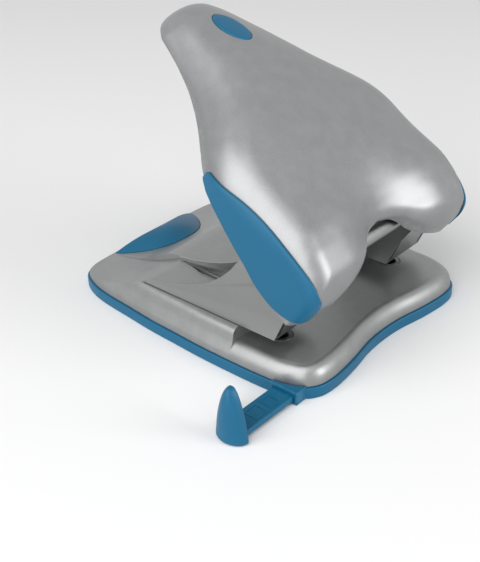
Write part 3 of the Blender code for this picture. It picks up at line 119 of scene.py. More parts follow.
class Graph:
    """The nodes of a material or a world, and the shader that they feed."""

    noise_roughness = 0.55

    def __init__(self, owner: bpy.types.ID, shader: str = "Principled BSDF") -> None:
        """Start with the shader that a new material or world has.

        Args:
            owner: The material or world.
            shader: The name of its shader node.
        """
        owner.use_nodes = True
        self.owner = owner
        self.tree = owner.node_tree
        self.shader = self.tree.nodes[shader]

    def feed(self, target: bpy.types.Node, sockets: dict) -> None:
        """Set or link a node's inputs.

        Args:
            target: The node.
            sockets: Values or signals, by the input's name or number.
        """
        for key, value in sockets.items():
            if isinstance(value, Signal):
                self.tree.links.new(value.socket, target.inputs[key])
            else:
                target.inputs[key].default_value = value

    def signal(self, kind: str, settings: dict | None = None, sockets: dict | None = None,
               output: int | str = 0) -> Signal:
        """Add a node and return one of its outputs.

        Args:
            kind: The node's type.
            settings: Its own properties, which are set first.
            sockets: Values or signals for its inputs, by name or number.
            output: The output's name or number.

        Returns:
            The output as a signal.
        """
        made = self.tree.nodes.new(kind)
        for key, value in (settings or {}).items():
            setattr(made, key, value)
        self.feed(made, sockets or {})
        return Signal(self, made.outputs[output])

    def noise(self, scale: float, detail: float = 2.0, stretch: Point | None = None) -> Signal:
        """Return a noise on Object coordinates.

        Args:
            scale: Features to a metre.
            detail: The number of finer layers.
            stretch: The factor each way, for streaks.

        Returns:
            The noise, between 0 and 1.
        """
        places = self.signal("ShaderNodeTexCoord", output="Object")
        if stretch:
            places = self.signal("ShaderNodeMapping", {"vector_type": "POINT"},
                                 {"Vector": places, "Scale": stretch})
        return self.signal("ShaderNodeTexNoise", {}, {
            "Vector": places, "Scale": scale, "Detail": detail, "Roughness": self.noise_roughness,
        }, "Fac")

    def specks(self, scale: float) -> Signal:
        """Return a value that differs from one small cell to the next.

        Args:
            scale: Cells to a metre.

        Returns:
            The value, between 0 and 1.
        """
        places = self.signal("ShaderNodeTexCoord", output="Object")
        cells = self.signal("ShaderNodeTexVoronoi", {}, {"Vector": places, "Scale": scale}, "Color")
        return self.signal("ShaderNodeSeparateColor", {}, {"Color": cells})

    def ramp(self, value: Signal, low: float, high: float) -> Signal:
        """Return a value stretched from two limits to 0 and 1, and kept between them."""
        return self.signal("ShaderNodeMapRange", {"clamp": True},
                           {"Value": value, "From Min": low, "From Max": high})

    def edges(self, low: float, high: float) -> Signal:
        """Return a value that rises from 0 to 1 on outer edges of the given sharpness."""
        return self.ramp(self.signal("ShaderNodeNewGeometry", output="Pointiness"), low, high)

    def blend(self, share: Signal, first: "Signal | Colour", second: "Signal | Colour") -> Signal:
        """Return a mix of two colours.

        Args:
            share: How much of the second there is.
            first: The first colour.
            second: The second colour.

        Returns:
            The mixed colour.
        """
        sockets = {0: share}
        for key, colour in ((6, first), (7, second)):
            sockets[key] = colour if isinstance(colour, Signal) else (*colour, 1.0)
        return self.signal("ShaderNodeMix", {"data_type": "RGBA"}, sockets, 2)

    def vary(self, share: Signal, colour: Colour, spread: float) -> Signal:
        """Return a colour that a share makes darker or lighter by up to a spread."""
        return self.blend(share, shade_of(colour, 1.0 - spread), shade_of(colour, 1.0 + spread))

    def bump(self, height: Signal, distance: float) -> Signal:
        """Return a normal that a height disturbs; the distance is what a height of 1 is."""
        return self.signal("ShaderNodeBump", {}, {"Height": height, "Distance": distance,
                                                  "Strength": 1.0})


def shade_of(colour: Colour, share: float) -> Colour:
    """Return a colour with each channel multiplied by a share."""
    return tuple(min(channel * share, 1.0) for channel in colour)


@dataclass(frozen=True)
class Patches:
    """Soft patches of another tone: a noise between two limits, its shade and dulling."""

    scale: float
    detail: float
    low: float
    high: float
    share: float
    shade: float
    dulling: float

    def lay(self, tone: Signal, colour: Colour) -> tuple[Signal, Signal]:
        """Lay the patches over a tone.

        Args:
            tone: The tone so far.
            colour: The finish's own colour, which the patches shade.

        Returns:
            The new tone, and where the patches are.
        """
        graph = tone.graph
        mask = graph.ramp(graph.noise(self.scale, self.detail), self.low, self.high)
        return graph.blend(mask * self.share, tone, shade_of(colour, self.shade)), mask


@dataclass(frozen=True)
class Wear:
    """Rubbed outer edges, broken up by a noise between two limits."""

    edge_low: float
    edge_high: float
    scale: float
    low: float
    high: float
    share: float
    colour: Colour
    detail: float = 5.0

    def lay(self, tone: Signal) -> tuple[Signal, Signal]:
        """Lay the wear over a tone.

        Args:
            tone: The tone so far.

        Returns:
            The new tone, and where the wear is.
        """
        graph = tone.graph
        mask = graph.edges(self.edge_low, self.edge_high) * graph.ramp(
            graph.noise(self.scale, self.detail), self.low, self.high)
        return graph.blend(mask * self.share, tone, self.colour), mask


@dataclass(frozen=True)
class PaintFinish:
    """Metallic satin paint with fine flakes and a faint orange peel."""

    name: str
    colour: Colour
    roughness: float = 0.36
    metallic: float = 0.80
    flake_scale: float = 5200.0
    flake_spread: float = 0.10
    flake_dulling: float = 0.06
    peel_scale: float = 850.0
    peel_depth: float = 0.000012
    clouds: Patches = Patches(150.0, 3.0, 0.38, 0.66, share=0.5, shade=1.14, dulling=0.03)
    soil: Patches = Patches(26.0, 4.0, 0.52, 0.78, share=0.12, shade=0.7, dulling=0.05)
    wear: Wear | None = Wear(0.535, 0.60, 420.0, 0.46, 0.62, 0.55, (0.46, 0.46, 0.47))

    def material(self) -> bpy.types.Material:
        """Make the finish.

        Returns:
            Its material.
        """
        graph = Graph(bpy.data.materials.new(self.name))
        flakes = graph.specks(self.flake_scale)
        tone = graph.vary(flakes, self.colour, self.flake_spread)
        tone, clouds = self.clouds.lay(tone, self.colour)
        tone, soil = self.soil.lay(tone, self.colour)
        if self.wear:
            tone, _ = self.wear.lay(tone)
        graph.feed(graph.shader, {
            "Base Color": tone,
            "Metallic": self.metallic,
            "Roughness": (self.roughness + flakes * self.flake_dulling
                          + soil * self.soil.dulling + clouds * self.clouds.dulling),
            "Normal": graph.bump(graph.noise(self.peel_scale), self.peel_depth),
        })
        return graph.owner


@dataclass(frozen=True)
class PlasticFinish:
    """Satin moulded plastic with a fine spark-eroded grain."""

    name: str
    colour: Colour
    roughness: float = 0.42
    gloss: float = 0.32
    grain_scale: float = 3400.0
    grain_spread: float = 0.10
    grain_depth: float = 0.000016
    soil: Patches = Patches(34.0, 5.0, 0.45, 0.80, share=0.12, shade=1.5, dulling=0.10)
    wear: Wear = Wear(0.54, 0.62, 380.0, 0.42, 0.62, 0.35, (0.03, 0.20, 0.32))
    wear_polish: float = 0.10

    def material(self) -> bpy.types.Material:
        """Make the finish.

        Returns:
            Its material.
        """
        graph = Graph(bpy.data.materials.new(self.name))
        grain = graph.noise(self.grain_scale, 3.0)
        tone = graph.vary(grain, self.colour, self.grain_spread)
        tone, soil = self.soil.lay(tone, self.colour)
        tone, worn = self.wear.lay(tone)
        graph.feed(graph.shader, {
            "Base Color": tone,
            "Roughness": self.roughness + soil * self.soil.dulling - worn * self.wear_polish,
            "Specular IOR Level": self.gloss,
            "Normal": graph.bump(grain, self.grain_depth),
        })
        return graph.owner


@dataclass(frozen=True)
class SteelFinish:
    """Bare or plated steel, with a rolled or turned grain, faint clouds and a painted highlight
    along its outer edges.
    """

    name: str
    colour: Colour
    roughness: float = 0.34
    streak_scale: float = 260.0
    streak_stretch: Point = (1.0, 1.0, 14.0)
    streak_spread: float = 0.12
    streak_dulling: float = 0.16
    streak_depth: float = 0.000008
    clouds: Patches = Patches(60.0, 3.0, 0.35, 0.70, share=0.25, shade=0.80, dulling=0.06)
    # Painted highlight: outer edges are drawn lighter, standing in for light catching them.
    edge_highlight_limits: tuple = (0.53, 0.60)
    edge_highlight_share: float = 0.7
    edge_highlight_shade: float = 1.9

    def material(self) -> bpy.types.Material:
        """Make the finish.

        Returns:
            Its material.
        """
        graph = Graph(bpy.data.materials.new(self.name))
        streaks = graph.noise(self.streak_scale, 4.0, self.streak_stretch)
        tone = graph.vary(streaks, self.colour, self.streak_spread)
        tone, clouds = self.clouds.lay(tone, self.colour)
        # Painted highlight: lighten the colour on outer edges, where light would catch them.
        tone = graph.blend(graph.edges(*self.edge_highlight_limits) * self.edge_highlight_share, tone,
                           shade_of(self.colour, self.edge_highlight_shade))
        graph.feed(graph.shader, {
            "Base Color": tone,
            "Metallic": 1.0,
            "Roughness": (self.roughness + (streaks - 0.5) * self.streak_dulling
                          + clouds * self.clouds.dulling),
            "Normal": graph.bump(streaks, self.streak_depth),
        })
        return graph.owner


FINISHES = {
    Slot.TEAL_PLASTIC: PlasticFinish("teal satin plastic", (0.002, 0.100, 0.195)),
    Slot.SILVER_PLASTIC: PaintFinish("silver paint on plastic", (0.262, 0.266, 0.270)),
    Slot.SILVER_PAINT: PaintFinish("silver paint on sheet steel", (0.265, 0.27, 0.27),
                                   roughness=0.34, wear=None),
    Slot.PLATED_STEEL: SteelFinish("zinc plated steel", (0.25, 0.255, 0.25)),
    Slot.HARDENED_STEEL: SteelFinish("hardened tool steel", (0.20, 0.20, 0.21), roughness=0.30),
    Slot.SPRING_STEEL: SteelFinish("drawn spring wire", (0.36, 0.36, 0.37), roughness=0.28),
}


class Paintshop:
    """Makes each finish once and gives it to pieces and nodes."""

    def __init__(self) -> None:
        """Start with no finish made."""
        self._made: dict[Slot, bpy.types.Material] = {}

    def coat(self, item: bpy.types.Object, slot: Slot) -> None:
        """Give an object the finish of a slot.

        Args:
            item: The object.
            slot: The slot.
        """
        if slot not in self._made:
            self._made[slot] = FINISHES[slot].material()
        item.data.materials.clear()
        item.data.materials.append(self._made[slot])

    def dress_nodes(self) -> None:
        """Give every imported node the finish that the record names."""
        for row in SUBPARTS:
            self.coat(frame["nodes"][row["node"]], Slot(row["material_slot"]))


def spline(points: tuple | list, steps: int, closed: bool = False) -> list:
    """Return points on a smooth curve through the given ones.

    Args:
        points: Points of any dimension.
        steps: Points drawn from one to the next.
        closed: Whether the curve returns to its start.

    Returns:
        The finer points.
    """
    count = len(points)
    out = []
    for index in range(count if closed else count - 1):
        picks = [index - 1, index, index + 1, index + 2]
        picks = [pick % count if closed else min(max(pick, 0), count - 1) for pick in picks]
        for step in range(steps):
            t = step / steps
            place = []
            for a, b, c, d in zip(*(points[pick] for pick in picks)):
                curve = (2 * a - 5 * b + 4 * c - d) * t ** 2 + (3 * b - a - 3 * c + d) * t ** 3
                place.append((2 * b + (c - a) * t + curve) / 2)
            out.append(tuple(place))
    if not closed:
        out.append(tuple(points[-1]))
    return out


def read_table(rows: list, value: float, column: int) -> float:
    """Read a column of a table whose first column rises.

    Args:
        rows: The table.
        value: The place in the first column.
        column: The column to read.

    Returns:
        The value, between the rows on either side.
    """
    if value <= rows[0][0]:
        return rows[0][column]
    for low, high in zip(rows, rows[1:]):
        if value <= high[0]:
            share = (value - low[0]) / (high[0] - low[0])
            return low[column] + (high[column] - low[column]) * share
    return rows[-1][column]


def inset(outline: list, distance: float) -> list:
    """Return a closed anticlockwise outline moved inwards.

    Args:
        outline: Points (x, y).
        distance: How far each point moves.

    Returns:
        The moved points.
    """
    out = []
    for index, (x, y) in enumerate(outline):
        before, after = outline[index - 1], outline[(index + 1) % len(outline)]
        along = Vector((after[0] - before[0], after[1] - before[1])).normalized()
        out.append((x - along.y * distance, y + along.x * distance))
    return out


def limited(value: float) -> float:
    """Return a value kept between 0 and 1."""
    return min(max(value, 0.0), 1.0)


def smooth_share(value: float) -> float:
    """Return a share that starts and ends without a corner."""
    value = limited(value)
    return value * value * (3 - 2 * value)


class Bench:
    """The modelling steps that all sub-assemblies use."""

    merge = 0.000004
    bar_sides = 64
    face_weight = 80

    @staticmethod
    def hold(item: bpy.types.Object) -> None:
        """Select one object alone and make it active.

        Args:
            item: The object.
        """
        bpy.ops.object.select_all(action="DESELECT")
        item.select_set(True)
        bpy.context.view_layer.objects.active = item

    @classmethod
    @contextmanager
    def editing(cls, item: bpy.types.Object) -> Iterator[None]:
        """Hold an object in edit mode, with all of its mesh selected.

        Args:
            item: The object.

        Returns:
            A context that ends in object mode.
        """
        cls.hold(item)
        bpy.ops.object.mode_set(mode="EDIT")
        bpy.ops.mesh.select_all(action="SELECT")
        yield
        bpy.ops.object.mode_set(mode="OBJECT")

    @classmethod
    def close(cls, item: bpy.types.Object, fill: bool = True) -> None:
        """Merge an object's seams and poles, and turn its faces outwards.

        Args:
            item: The object.
            fill: Whether its open ends are filled.
        """
        with cls.editing(item):
            bpy.ops.mesh.remove_doubles(threshold=cls.merge)
            if fill:
                bpy.ops.mesh.fill_holes(sides=0)
                bpy.ops.mesh.select_all(action="SELECT")
            bpy.ops.mesh.normals_make_consistent(inside=False)

    @classmethod
    def loft(cls, name: str, rings: list, sheet: bool = False) -> bpy.types.Object:
        """Lay a grid primitive over rows of points.

        Args:
            name: The object's name.
            rings: Rows with the same number of points (x, y, z).
            sheet: Whether it is an open sheet, and not a closed body of rings.

        Returns:
            The object.
        """
        bpy.ops.object.select_all(action="DESELECT")
        around = len(rings[0]) - 1 if sheet else len(rings[0])
        bpy.ops.mesh.primitive_grid_add(x_subdivisions=around, y_subdivisions=len(rings) - 1,
                                        size=1.0)
        item = bpy.context.object
        item.name = name
        item.data.name = name
        places = []
        for ring in rings:
            for point in (ring if sheet else list(ring) + [ring[0]]):
                places.extend(point)
        item.data.vertices.foreach_set("co", places)
        cls.close(item, not sheet)
        return item

    @classmethod
    def raised(cls, name: str, outline: list, low: float, high: float) -> bpy.types.Object:
        """Raise a plan outline of points (x, y) between two heights."""
        return cls.loft(name, [[(x, y, level) for x, y in outline] for level in (low, high)])

    @classmethod
    def across(cls, name: str, outline: list, low: float, high: float) -> bpy.types.Object:
        """Run a side outline of points (y, z) between two places across."""
        return cls.loft(name, [[(place, y, z) for y, z in outline] for place in (low, high)])

    @classmethod
    def block(cls, name: str, low: Point, high: Point) -> bpy.types.Object:
        """Make a block between its lowest and highest corners."""
        flat = [(low[0], low[1]), (high[0], low[1]), (high[0], high[1]), (low[0], high[1])]
        return cls.raised(name, flat, low[2], high[2])

    @classmethod
    def round_bar(cls, name: str, radius: float, low: float, high: float,
                  centre: tuple[float, float]) -> bpy.types.Object:
        """Make a round bar along Z.

        Args:
            name: The object's name.
            radius: The bar's radius.
            low: The lower height.
            high: The upper height.
            centre: Its place (x, y).

        Returns:
            The bar.
        """
        turns = [2 * math.pi * step / cls.bar_sides for step in range(cls.bar_sides)]
        outline = [(centre[0] + radius * math.cos(turn), centre[1] + radius * math.sin(turn))
                   for turn in turns]
        return cls.raised(name, outline, low, high)

    @classmethod
    def work(cls, item: bpy.types.Object, kind: str, **settings: object) -> None:
        """Add a modifier and apply it.

        Args:
            item: The object.
            kind: The modifier's type.
            settings: Its properties.
        """
        cls.hold(item)
        step = item.modifiers.new(kind.lower(), kind)
        for key, value in settings.items():
            setattr(step, key, value)
        bpy.ops.object.modifier_apply(modifier=step.name)

    @classmethod
    def combine(cls, item: bpy.types.Object, tool: bpy.types.Object,
                operation: str = "DIFFERENCE") -> None:
        """Join or cut an object with a tool, which is used up."""
        cls.work(item, "BOOLEAN", operation=operation, solver="EXACT", object=tool)
        bpy.data.objects.remove(tool, do_unlink=True)

    @classmethod
    def soften(cls, item: bpy.types.Object, width: float, segments: int = 3,
               angle: float = 40.0) -> None:
        """Round an object's edges that are sharper than an angle in degrees."""
        cls.work(item, "BEVEL", width=width, segments=segments, limit_method="ANGLE",
                 angle_limit=math.radians(angle), use_clamp_overlap=True, harden_normals=False)

    @classmethod
    def finish(cls, item: bpy.types.Object, angle: float, weighted: bool = True) -> None:
        """Shade an object smooth up to an angle.

        Args:
            item: The object.
            angle: The angle above which an edge stays sharp, in degrees.
            weighted: Whether large faces keep their own direction.
        """
        cls.hold(item)
        bpy.ops.object.shade_smooth_by_angle(angle=math.radians(angle))
        if weighted:
            cls.work(item, "WEIGHTED_NORMAL", keep_sharp=True, weight=cls.face_weight)


@dataclass
class SubAssembly:
    """A group of pieces, and the sizes that they share."""

    paintshop: Paintshop

    gap: float = 0.0003
    overrun: float = 0.004
    pin_side: float = 0.040
    pivot_front: float = 0.014
    pivot_height: float = 0.048
    lever_lift: float = math.radians(38.0)

    def hand_over(self, item: bpy.types.Object, slot: Slot, body: str,
                  *nodes: str) -> bpy.types.Object:
        """Coat a piece, set it on its body and report it.

        Args:
            item: The piece.
            slot: Its finish.
            body: The body that it rides on.
            nodes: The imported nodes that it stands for.

        Returns:
            The piece.
        """
        self.paintshop.coat(item, slot)
        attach(item, body)
        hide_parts(*nodes)
        LOG.info("%s: %d faces, finish %s, on %s", item.name, len(item.data.polygons), slot.value,
                 body)
        return item

    def lever_place(self) -> Matrix:
        """Return the turn and move from the lever's own frame to its raised place."""
        turn = Matrix.Rotation(self.lever_lift, 4, "X")
        return Matrix.Translation((0.0, -self.pivot_front, self.pivot_height)) @ turn


@dataclass
class Studio:
    """The floor, the lamps, the surroundings and the camera."""

    camera_place: Point = (-0.3354, -0.2430, 0.2688)
    camera_azimuth: float = math.radians(-48.058)
    camera_elevation: float = math.radians(30.876)
    camera_roll: float = math.radians(-1.685)
    lens: float = 69.64
    sensor: float = 36.0
    nearest: float = 0.01
    floor_half: float = 3.0
    floor_shade: float = 0.86
    floor_roughness: float = 0.9
    sky_shade: float = 0.95
    sky_light: float = 0.38
    sky_seen: float = 1.0
    lamp_aim: Point = (0.0, 0.03, 0.05)
    lamps: tuple = (
        ("lamp_left", (-1.10, 0.02, 0.74), 1.70, 23.0),
        ("lamp_front", (0.30, -1.15, 0.42), 0.70, 8.0),
        ("lamp_top", (-0.25, -0.30, 1.20), 0.70, 1.5),
    )

    def build(self) -> None:
        """Make the floor, the lamps, the surroundings and the camera."""
        self._floor()
        self._lamps()
        self._world()
        self._camera()

    def _floor(self) -> None:
        """Make the pale floor, which is not part of the object."""
        bpy.ops.object.select_all(action="DESELECT")
        bpy.ops.mesh.primitive_plane_add(size=2 * self.floor_half)
        floor = bpy.context.object
        floor.name = "floor"
        graph = Graph(bpy.data.materials.new("pale floor"))
        graph.feed(graph.shader, {"Base Color": (*[self.floor_shade] * 3, 1.0),
                                  "Roughness": self.floor_roughness})
        floor.data.materials.append(graph.owner)

    def _lamps(self) -> None:
        """Make the large soft lamps, which face the object."""
        for name, place, size, power in self.lamps:
            data = bpy.data.lights.new(name, "AREA")
            data.shape = "SQUARE"
            data.size = size
            data.energy = power
            lamp = bpy.data.objects.new(name, data)
            bpy.context.scene.collection.objects.link(lamp)
            aim = Vector(self.lamp_aim) - Vector(place)
            lamp.location = place
            lamp.rotation_euler = aim.to_track_quat("-Z", "Y").to_euler()

    def _world(self) -> None:
        """Make the pale surroundings, which the camera and reflections see as near white."""
        graph = Graph(bpy.data.worlds.new("studio"), "Background")
        bpy.context.scene.world = graph.owner
        straight, mirrored = (graph.signal("ShaderNodeLightPath", output=ray)
                              for ray in ("Is Camera Ray", "Is Glossy Ray"))
        strength = graph.signal("ShaderNodeMapRange", {}, {
            "Value": straight.at_least(mirrored), "To Min": self.sky_light, "To Max": self.sky_seen,
        })
        graph.feed(graph.shader, {"Color": (*[self.sky_shade] * 3, 1.0), "Strength": strength})

    def _camera(self) -> None:
        """Make the camera at the photograph's viewing angle."""
        data = bpy.data.cameras.new("camera")
        data.sensor_width = self.sensor
        data.lens = self.lens
        data.clip_start = self.nearest
        camera = bpy.data.objects.new("camera", data)
        bpy.context.scene.collection.objects.link(camera)
        east = Vector((math.cos(self.camera_azimuth), math.sin(self.camera_azimuth), 0.0))
        level = math.cos(self.camera_elevation)
        back = Vector((math.sin(self.camera_azimuth) * level,
                       -math.cos(self.camera_azimuth) * level, math.sin(self.camera_elevation)))
        upright = back.cross(east)
        right = east * math.cos(self.camera_roll) + upright * math.sin(self.camera_roll)
        up = upright * math.cos(self.camera_roll) - east * math.sin(self.camera_roll)
        turn = Matrix((right, up, back)).transposed()
        camera.matrix_world = Matrix.Translation(self.camera_place) @ turn.to_4x4()
        bpy.context.scene.camera = camera


@dataclass
class BaseShell(SubAssembly):
    """The pressed cover, the moulded tray below it and the pad at its rear."""

    half_width: float = 0.0608
    front: float = 0.0300
    rear: float = 0.1180
    rim_height: float = 0.0053
    ledge: float = 0.0010
    sheet: float = 0.0012
    table_height: float = 0.0135
    deck_height: float = 0.0197
    cut_top: float = 0.03
    paper_edge: float = 0.012
    overlap: float = 0.0006
    bead: float = 0.0056
    rail: float = 0.0064
    side_start: float = 0.0670
    middle_start: float = 0.0730
    middle_margin: float = 0.0008
    middle_half: float = 0.0260
    flank_slope: float = 0.15
    fall_foot: float = 0.0063
    window_half: float = 0.0113
    window_front: float = 0.029
    window_rear: float = 0.0703
    window_tip: float = 0.0460
    window_depth: float = 0.006
    die_hole: tuple = (0.0053, 0.0095, 0.0175)
    rivet_hole: tuple = (0.0018, 0.0157, 0.0237)
    rivet_spread: float = 0.0055
    rivet_rear: float = 0.019
    tray_floor: float = 0.0012
    tray_wall: float = 0.0012
    lip_height: float = 0.0016
    lip_rear: float = 0.080
    collar_half: float = 0.0070
    collar_proud: float = 0.0024
    collar_height: float = 0.0062
    collar_round: float = 0.0005
    rib_sides: tuple = (0.0010, 0.0012)
    rib_length: float = 0.088
    slot_end: float = 0.0423
    slot_height: float = 0.0034
    pad_half: float = 0.0270
    pad_front: float = 0.0920
    pad_middle: float = 0.1065
    pad_crown: float = 0.0062
    pad_sheet: float = 0.0010
    pad_bow: float = 1.6
    pad_reach: float = 0.999
    guide_centre: float = 0.0180
    guide_half: float = 0.0057
    outline_shares: tuple = (
        (0.0, 0.032), (0.197, 0.027), (0.395, 0.012), (0.559, 0.003), (0.69, 0.0), (0.814, 0.007),
        (0.913, 0.037), (0.975, 0.098), (0.995, 0.176), (1.0, 0.284), (0.998, 0.396),
        (0.987, 0.493), (0.974, 0.608), (0.949, 0.714), (0.921, 0.831), (0.88, 0.905),
        (0.806, 0.963), (0.707, 0.988), (0.592, 0.997), (0.395, 1.0), (0.197, 1.0), (0.0, 1.0),
    )
    rim_levels: tuple = (
        (0.0006, 0.0), (0.00018, 0.00018), (0.0, 0.0006), (0.0, 0.0028), (0.0, 0.0048),
        (0.00008, 0.0051), (0.0003, 0.0053),
    )
    bead_shares: tuple = (
        (0.0, 0.0), (0.05, 0.31), (0.19, 0.59), (0.41, 0.81), (0.69, 0.95), (1.0, 1.0),
    )
    rail_shares: tuple = (
        (0.0, 0.0), (0.044, 0.174), (0.166, 0.33), (0.33, 0.54), (0.42, 0.71), (0.50, 0.85),
        (0.66, 0.95), (1.0, 1.0),
    )
    side_fall: tuple = (
        (0.0, 0.0), (0.06, 0.037), (0.16, 0.164), (0.24, 0.276), (0.32, 0.403), (0.40, 0.515),
        (0.48, 0.612), (0.56, 0.705), (0.64, 0.776), (0.76, 0.866), (0.88, 0.94), (1.0, 1.0),
    )
    middle_fall: tuple = (
        (0.0, 0.0), (0.083, 0.03), (0.162, 0.09), (0.231, 0.20), (0.3125, 0.34), (0.394, 0.478),
        (0.463, 0.59), (0.532, 0.68), (0.671, 0.80), (0.81, 0.89), (0.90, 0.945), (1.0, 1.0),
    )

    def build(self) -> None:
        """Make the tray, the cover and the pad."""
        self.hand_over(self._tray(), Slot.TEAL_PLASTIC, "base", "base_tray")
        self.hand_over(self._cover(), Slot.SILVER_PAINT, "base", "base_cover")
        self.hand_over(self._pad(), Slot.TEAL_PLASTIC, "base", "rear_pad")

    def _outline(self) -> list:
        """Draw the tray's outline, anticlockwise from the front middle.

        Returns:
            Its points (x, y).
        """
        depth = self.front + self.rear
        right = [(x * self.half_width, y * depth - self.front) for x, y in self.outline_shares]
        left = [(-x, y) for x, y in reversed(right[1:-1])]
        return spline(right + left, 4, closed=True)

    def _rim_half(self, y: float) -> float:
        """Return the tray's half width at a place along Y."""
        right = [(b, a) for a, b in self._outline() if a > 0.8 * self.half_width]
        return read_table(sorted(right), y, 1)

    def _foot(self, drop: float) -> float:
        """Return the lowest height of a form of the cover, which is lower for a hollow."""
        return self.rim_height + self.gap - (self.overrun if drop else 0.0)

    def _middle_rear(self) -> float:
        """Return where the deck's middle ends."""
        return self.rear - self.ledge - self.middle_margin

    def _fall(self, start: float, rear: float, shares: tuple, drop: float) -> list:
        """Draw the curve of a falling deck.

        Args:
            start: Where it begins to fall.
            rear: Where it ends.
            shares: The fall, as shares along and down.
            drop: How far below the deck's face it runs.

        Returns:
            Its points (y, z).
        """
        rise = self.deck_height - self.fall_foot
        return [(start + (rear - start) * along, self.deck_height - rise * max(down, 0.0) - drop)
                for along, down in spline(shares, 3)]

    def _dome(self, name: str, drop: float, height: float, width: float,
              shares: tuple) -> bpy.types.Object:
        """Make a form with a flat top and rounded sides.

        Args:
            name: The object's name.
            drop: How far inside the cover's outer face it runs.
            height: The height of the cover's flat top.
            width: The width of the rounded edge.
            shares: The edge, as shares of its width and rise.

        Returns:
            The form.
        """
        outline = inset(inset(self._outline(), self.ledge), drop)
        base = self._foot(0.0)
        rings = [[(x, y, self._foot(drop)) for x, y in outline]] if drop else []
        for inwards, up in spline(shares, 3):
            level = base + (height - drop - base) * min(up, 1.0)
            rings.append([(x, y, level) for x, y in inset(outline, width * inwards)])
        return Bench.loft(name, rings)

    def _table(self, name: str, drop: float) -> bpy.types.Object:
        """Make the paper table's form, up to an end inside the deck.

        Args:
            name: The object's name.
            drop: How far inside the cover's outer face it runs.

        Returns:
            The form.
        """
        table = self._dome(name, drop, self.table_height, self.bead, self.bead_shares)
        side, end = self.half_width + self.overrun, self.paper_edge + drop + self.overlap
        Bench.combine(table, Bench.block(
            "table_end_cut", (-side, end, self._foot(drop) - self.overrun),
            (side, self.rear + self.overrun, self.cut_top)))
        return table

    def _deck(self, name: str, drop: float) -> bpy.types.Object:
        """Make the rear deck's form with its rails and falling sides.

        Args:
            name: The object's name.
            drop: How far inside the cover's outer face it runs.

        Returns:
            The form.
        """
        deck = self._dome(name, drop, self.deck_height, self.rail, self.rail_shares)
        side, behind = self.half_width + self.overrun, self.rear + self.overrun
        Bench.combine(deck, Bench.block(
            "deck_front_cut", (-side, -self.front - self.overrun, self._foot(drop) - self.overrun),
            (side, self.paper_edge + drop, self.cut_top)))
        fall = self._fall(self.side_start, self.rear - self.ledge, self.side_fall, drop)
        fall += [(behind, fall[-1][1]), (behind, self.cut_top), (fall[0][0], self.cut_top)]
        Bench.combine(deck, Bench.across("deck_fall_cut", fall, -side, side))
        return deck

    def _middle(self, name: str, drop: float) -> bpy.types.Object:
        """Make the raised middle of the rear deck, whose flanks spread downwards.

        Args:
            name: The object's name.
            drop: How far inside the cover's outer face it runs.

        Returns:
            The form.
        """
        rear, foot, front = self._middle_rear(), self._foot(drop), self.paper_edge + drop
        fall = self._fall(self.middle_start, rear, self.middle_fall, drop)
        outline = [(front, foot), (front, self.deck_height - drop)]
        outline += [(y - drop, z) for y, z in fall] + [(rear - drop, foot)]
        half = self.middle_half - drop
        return Bench.loft(name, [[(way * (half + (self.deck_height - z) * self.flank_slope), y, z)
                                  for y, z in outline] for way, _ in SIDES])

    def _cover(self) -> bpy.types.Object:
        """Make the pressed cover with its step, rails, windows and holes.

        Returns:
            The cover.
        """
        cover = self._table("cover_pressing", 0.0)
        for form in (self._deck, self._middle):
            Bench.combine(cover, form("outer_form", 0.0), "UNION")
        for form in (self._table, self._deck, self._middle):
            Bench.combine(cover, form("hollow_form", self.sheet))
        for way, _ in SIDES:
            side = way * self.pin_side
            Bench.combine(cover, Bench.raised(
                "window_cut", self._window(side), self.deck_height - self.window_depth,
                self.deck_height + self.overrun))
            Bench.combine(cover, Bench.round_bar("die_hole_cut", *self.die_hole, (side, 0.0)))
            for spread in (-self.rivet_spread, self.rivet_spread):
                Bench.combine(cover, Bench.round_bar("rivet_hole_cut", *self.rivet_hole,
                                                     (side + spread, self.rivet_rear)))
        Bench.combine(cover, Bench.raised("pad_opening_cut", inset(self._pad_outline(), -self.gap),
                                          self._foot(self.sheet), self.cut_top))
        Bench.finish(cover, angle=30.0)
        return cover

    def _window(self, side: float) -> list:
        """Draw a window's outline, which goes round a rounded tongue.

        Args:
            side: The window's middle across.

        Returns:
            Its points (x, y).
        """
        outline = [(side - self.window_half, self.window_front),
                   (side + self.window_half, self.window_front)]
        for step in range(33):
            angle = math.pi * step / 32
            depth = (self.window_rear - self.window_tip) * math.sin(angle)
            outline.append((side + self.window_half * math.cos(angle), self.window_rear - depth))
        return outline

    def _pad_outline(self) -> list:
        """Draw the pad's outline, anticlockwise from its left end.

        Returns:
            Its points (x, y).
        """
        rear = self.rear - 2 * self.ledge
        points = []
        for step in range(67):
            angle = math.pi + math.pi * step / 66
            forward = (rear - self.pad_front) * abs(math.sin(angle)) ** self.pad_bow
            points.append((self.pad_half * math.cos(angle), rear - forward))
        return points + [(self.pad_half * (1 - 2 * step / 18), rear) for step in range(1, 18)]

    def _pad(self) -> bpy.types.Object:
        """Make the pad as a crowned shell with a rolled edge.

        Returns:
            The pad.
        """
        fall = self._fall(self.middle_start, self._middle_rear(), self.middle_fall, 0.0)
        outline = self._pad_outline()
        faces = []
        for drop in (0.0, self.pad_sheet):
            rings = []
            for step in range(25):
                share = 1 - (1 - step / 24) * self.pad_reach
                crown = self.pad_crown * (1 - (1 - share) ** 2)
                ring = []
                for x, y in outline:
                    along = y + (self.pad_middle - y) * share
                    level = read_table(fall, along, 1) + self.gap + crown - drop
                    ring.append((x * (1 - share), along, level))
                rings.append(ring)
            faces.append(rings)
        pad = Bench.loft("pad_shell", list(reversed(faces[0])) + faces[1])
        Bench.finish(pad, angle=50.0, weighted=False)
        return pad

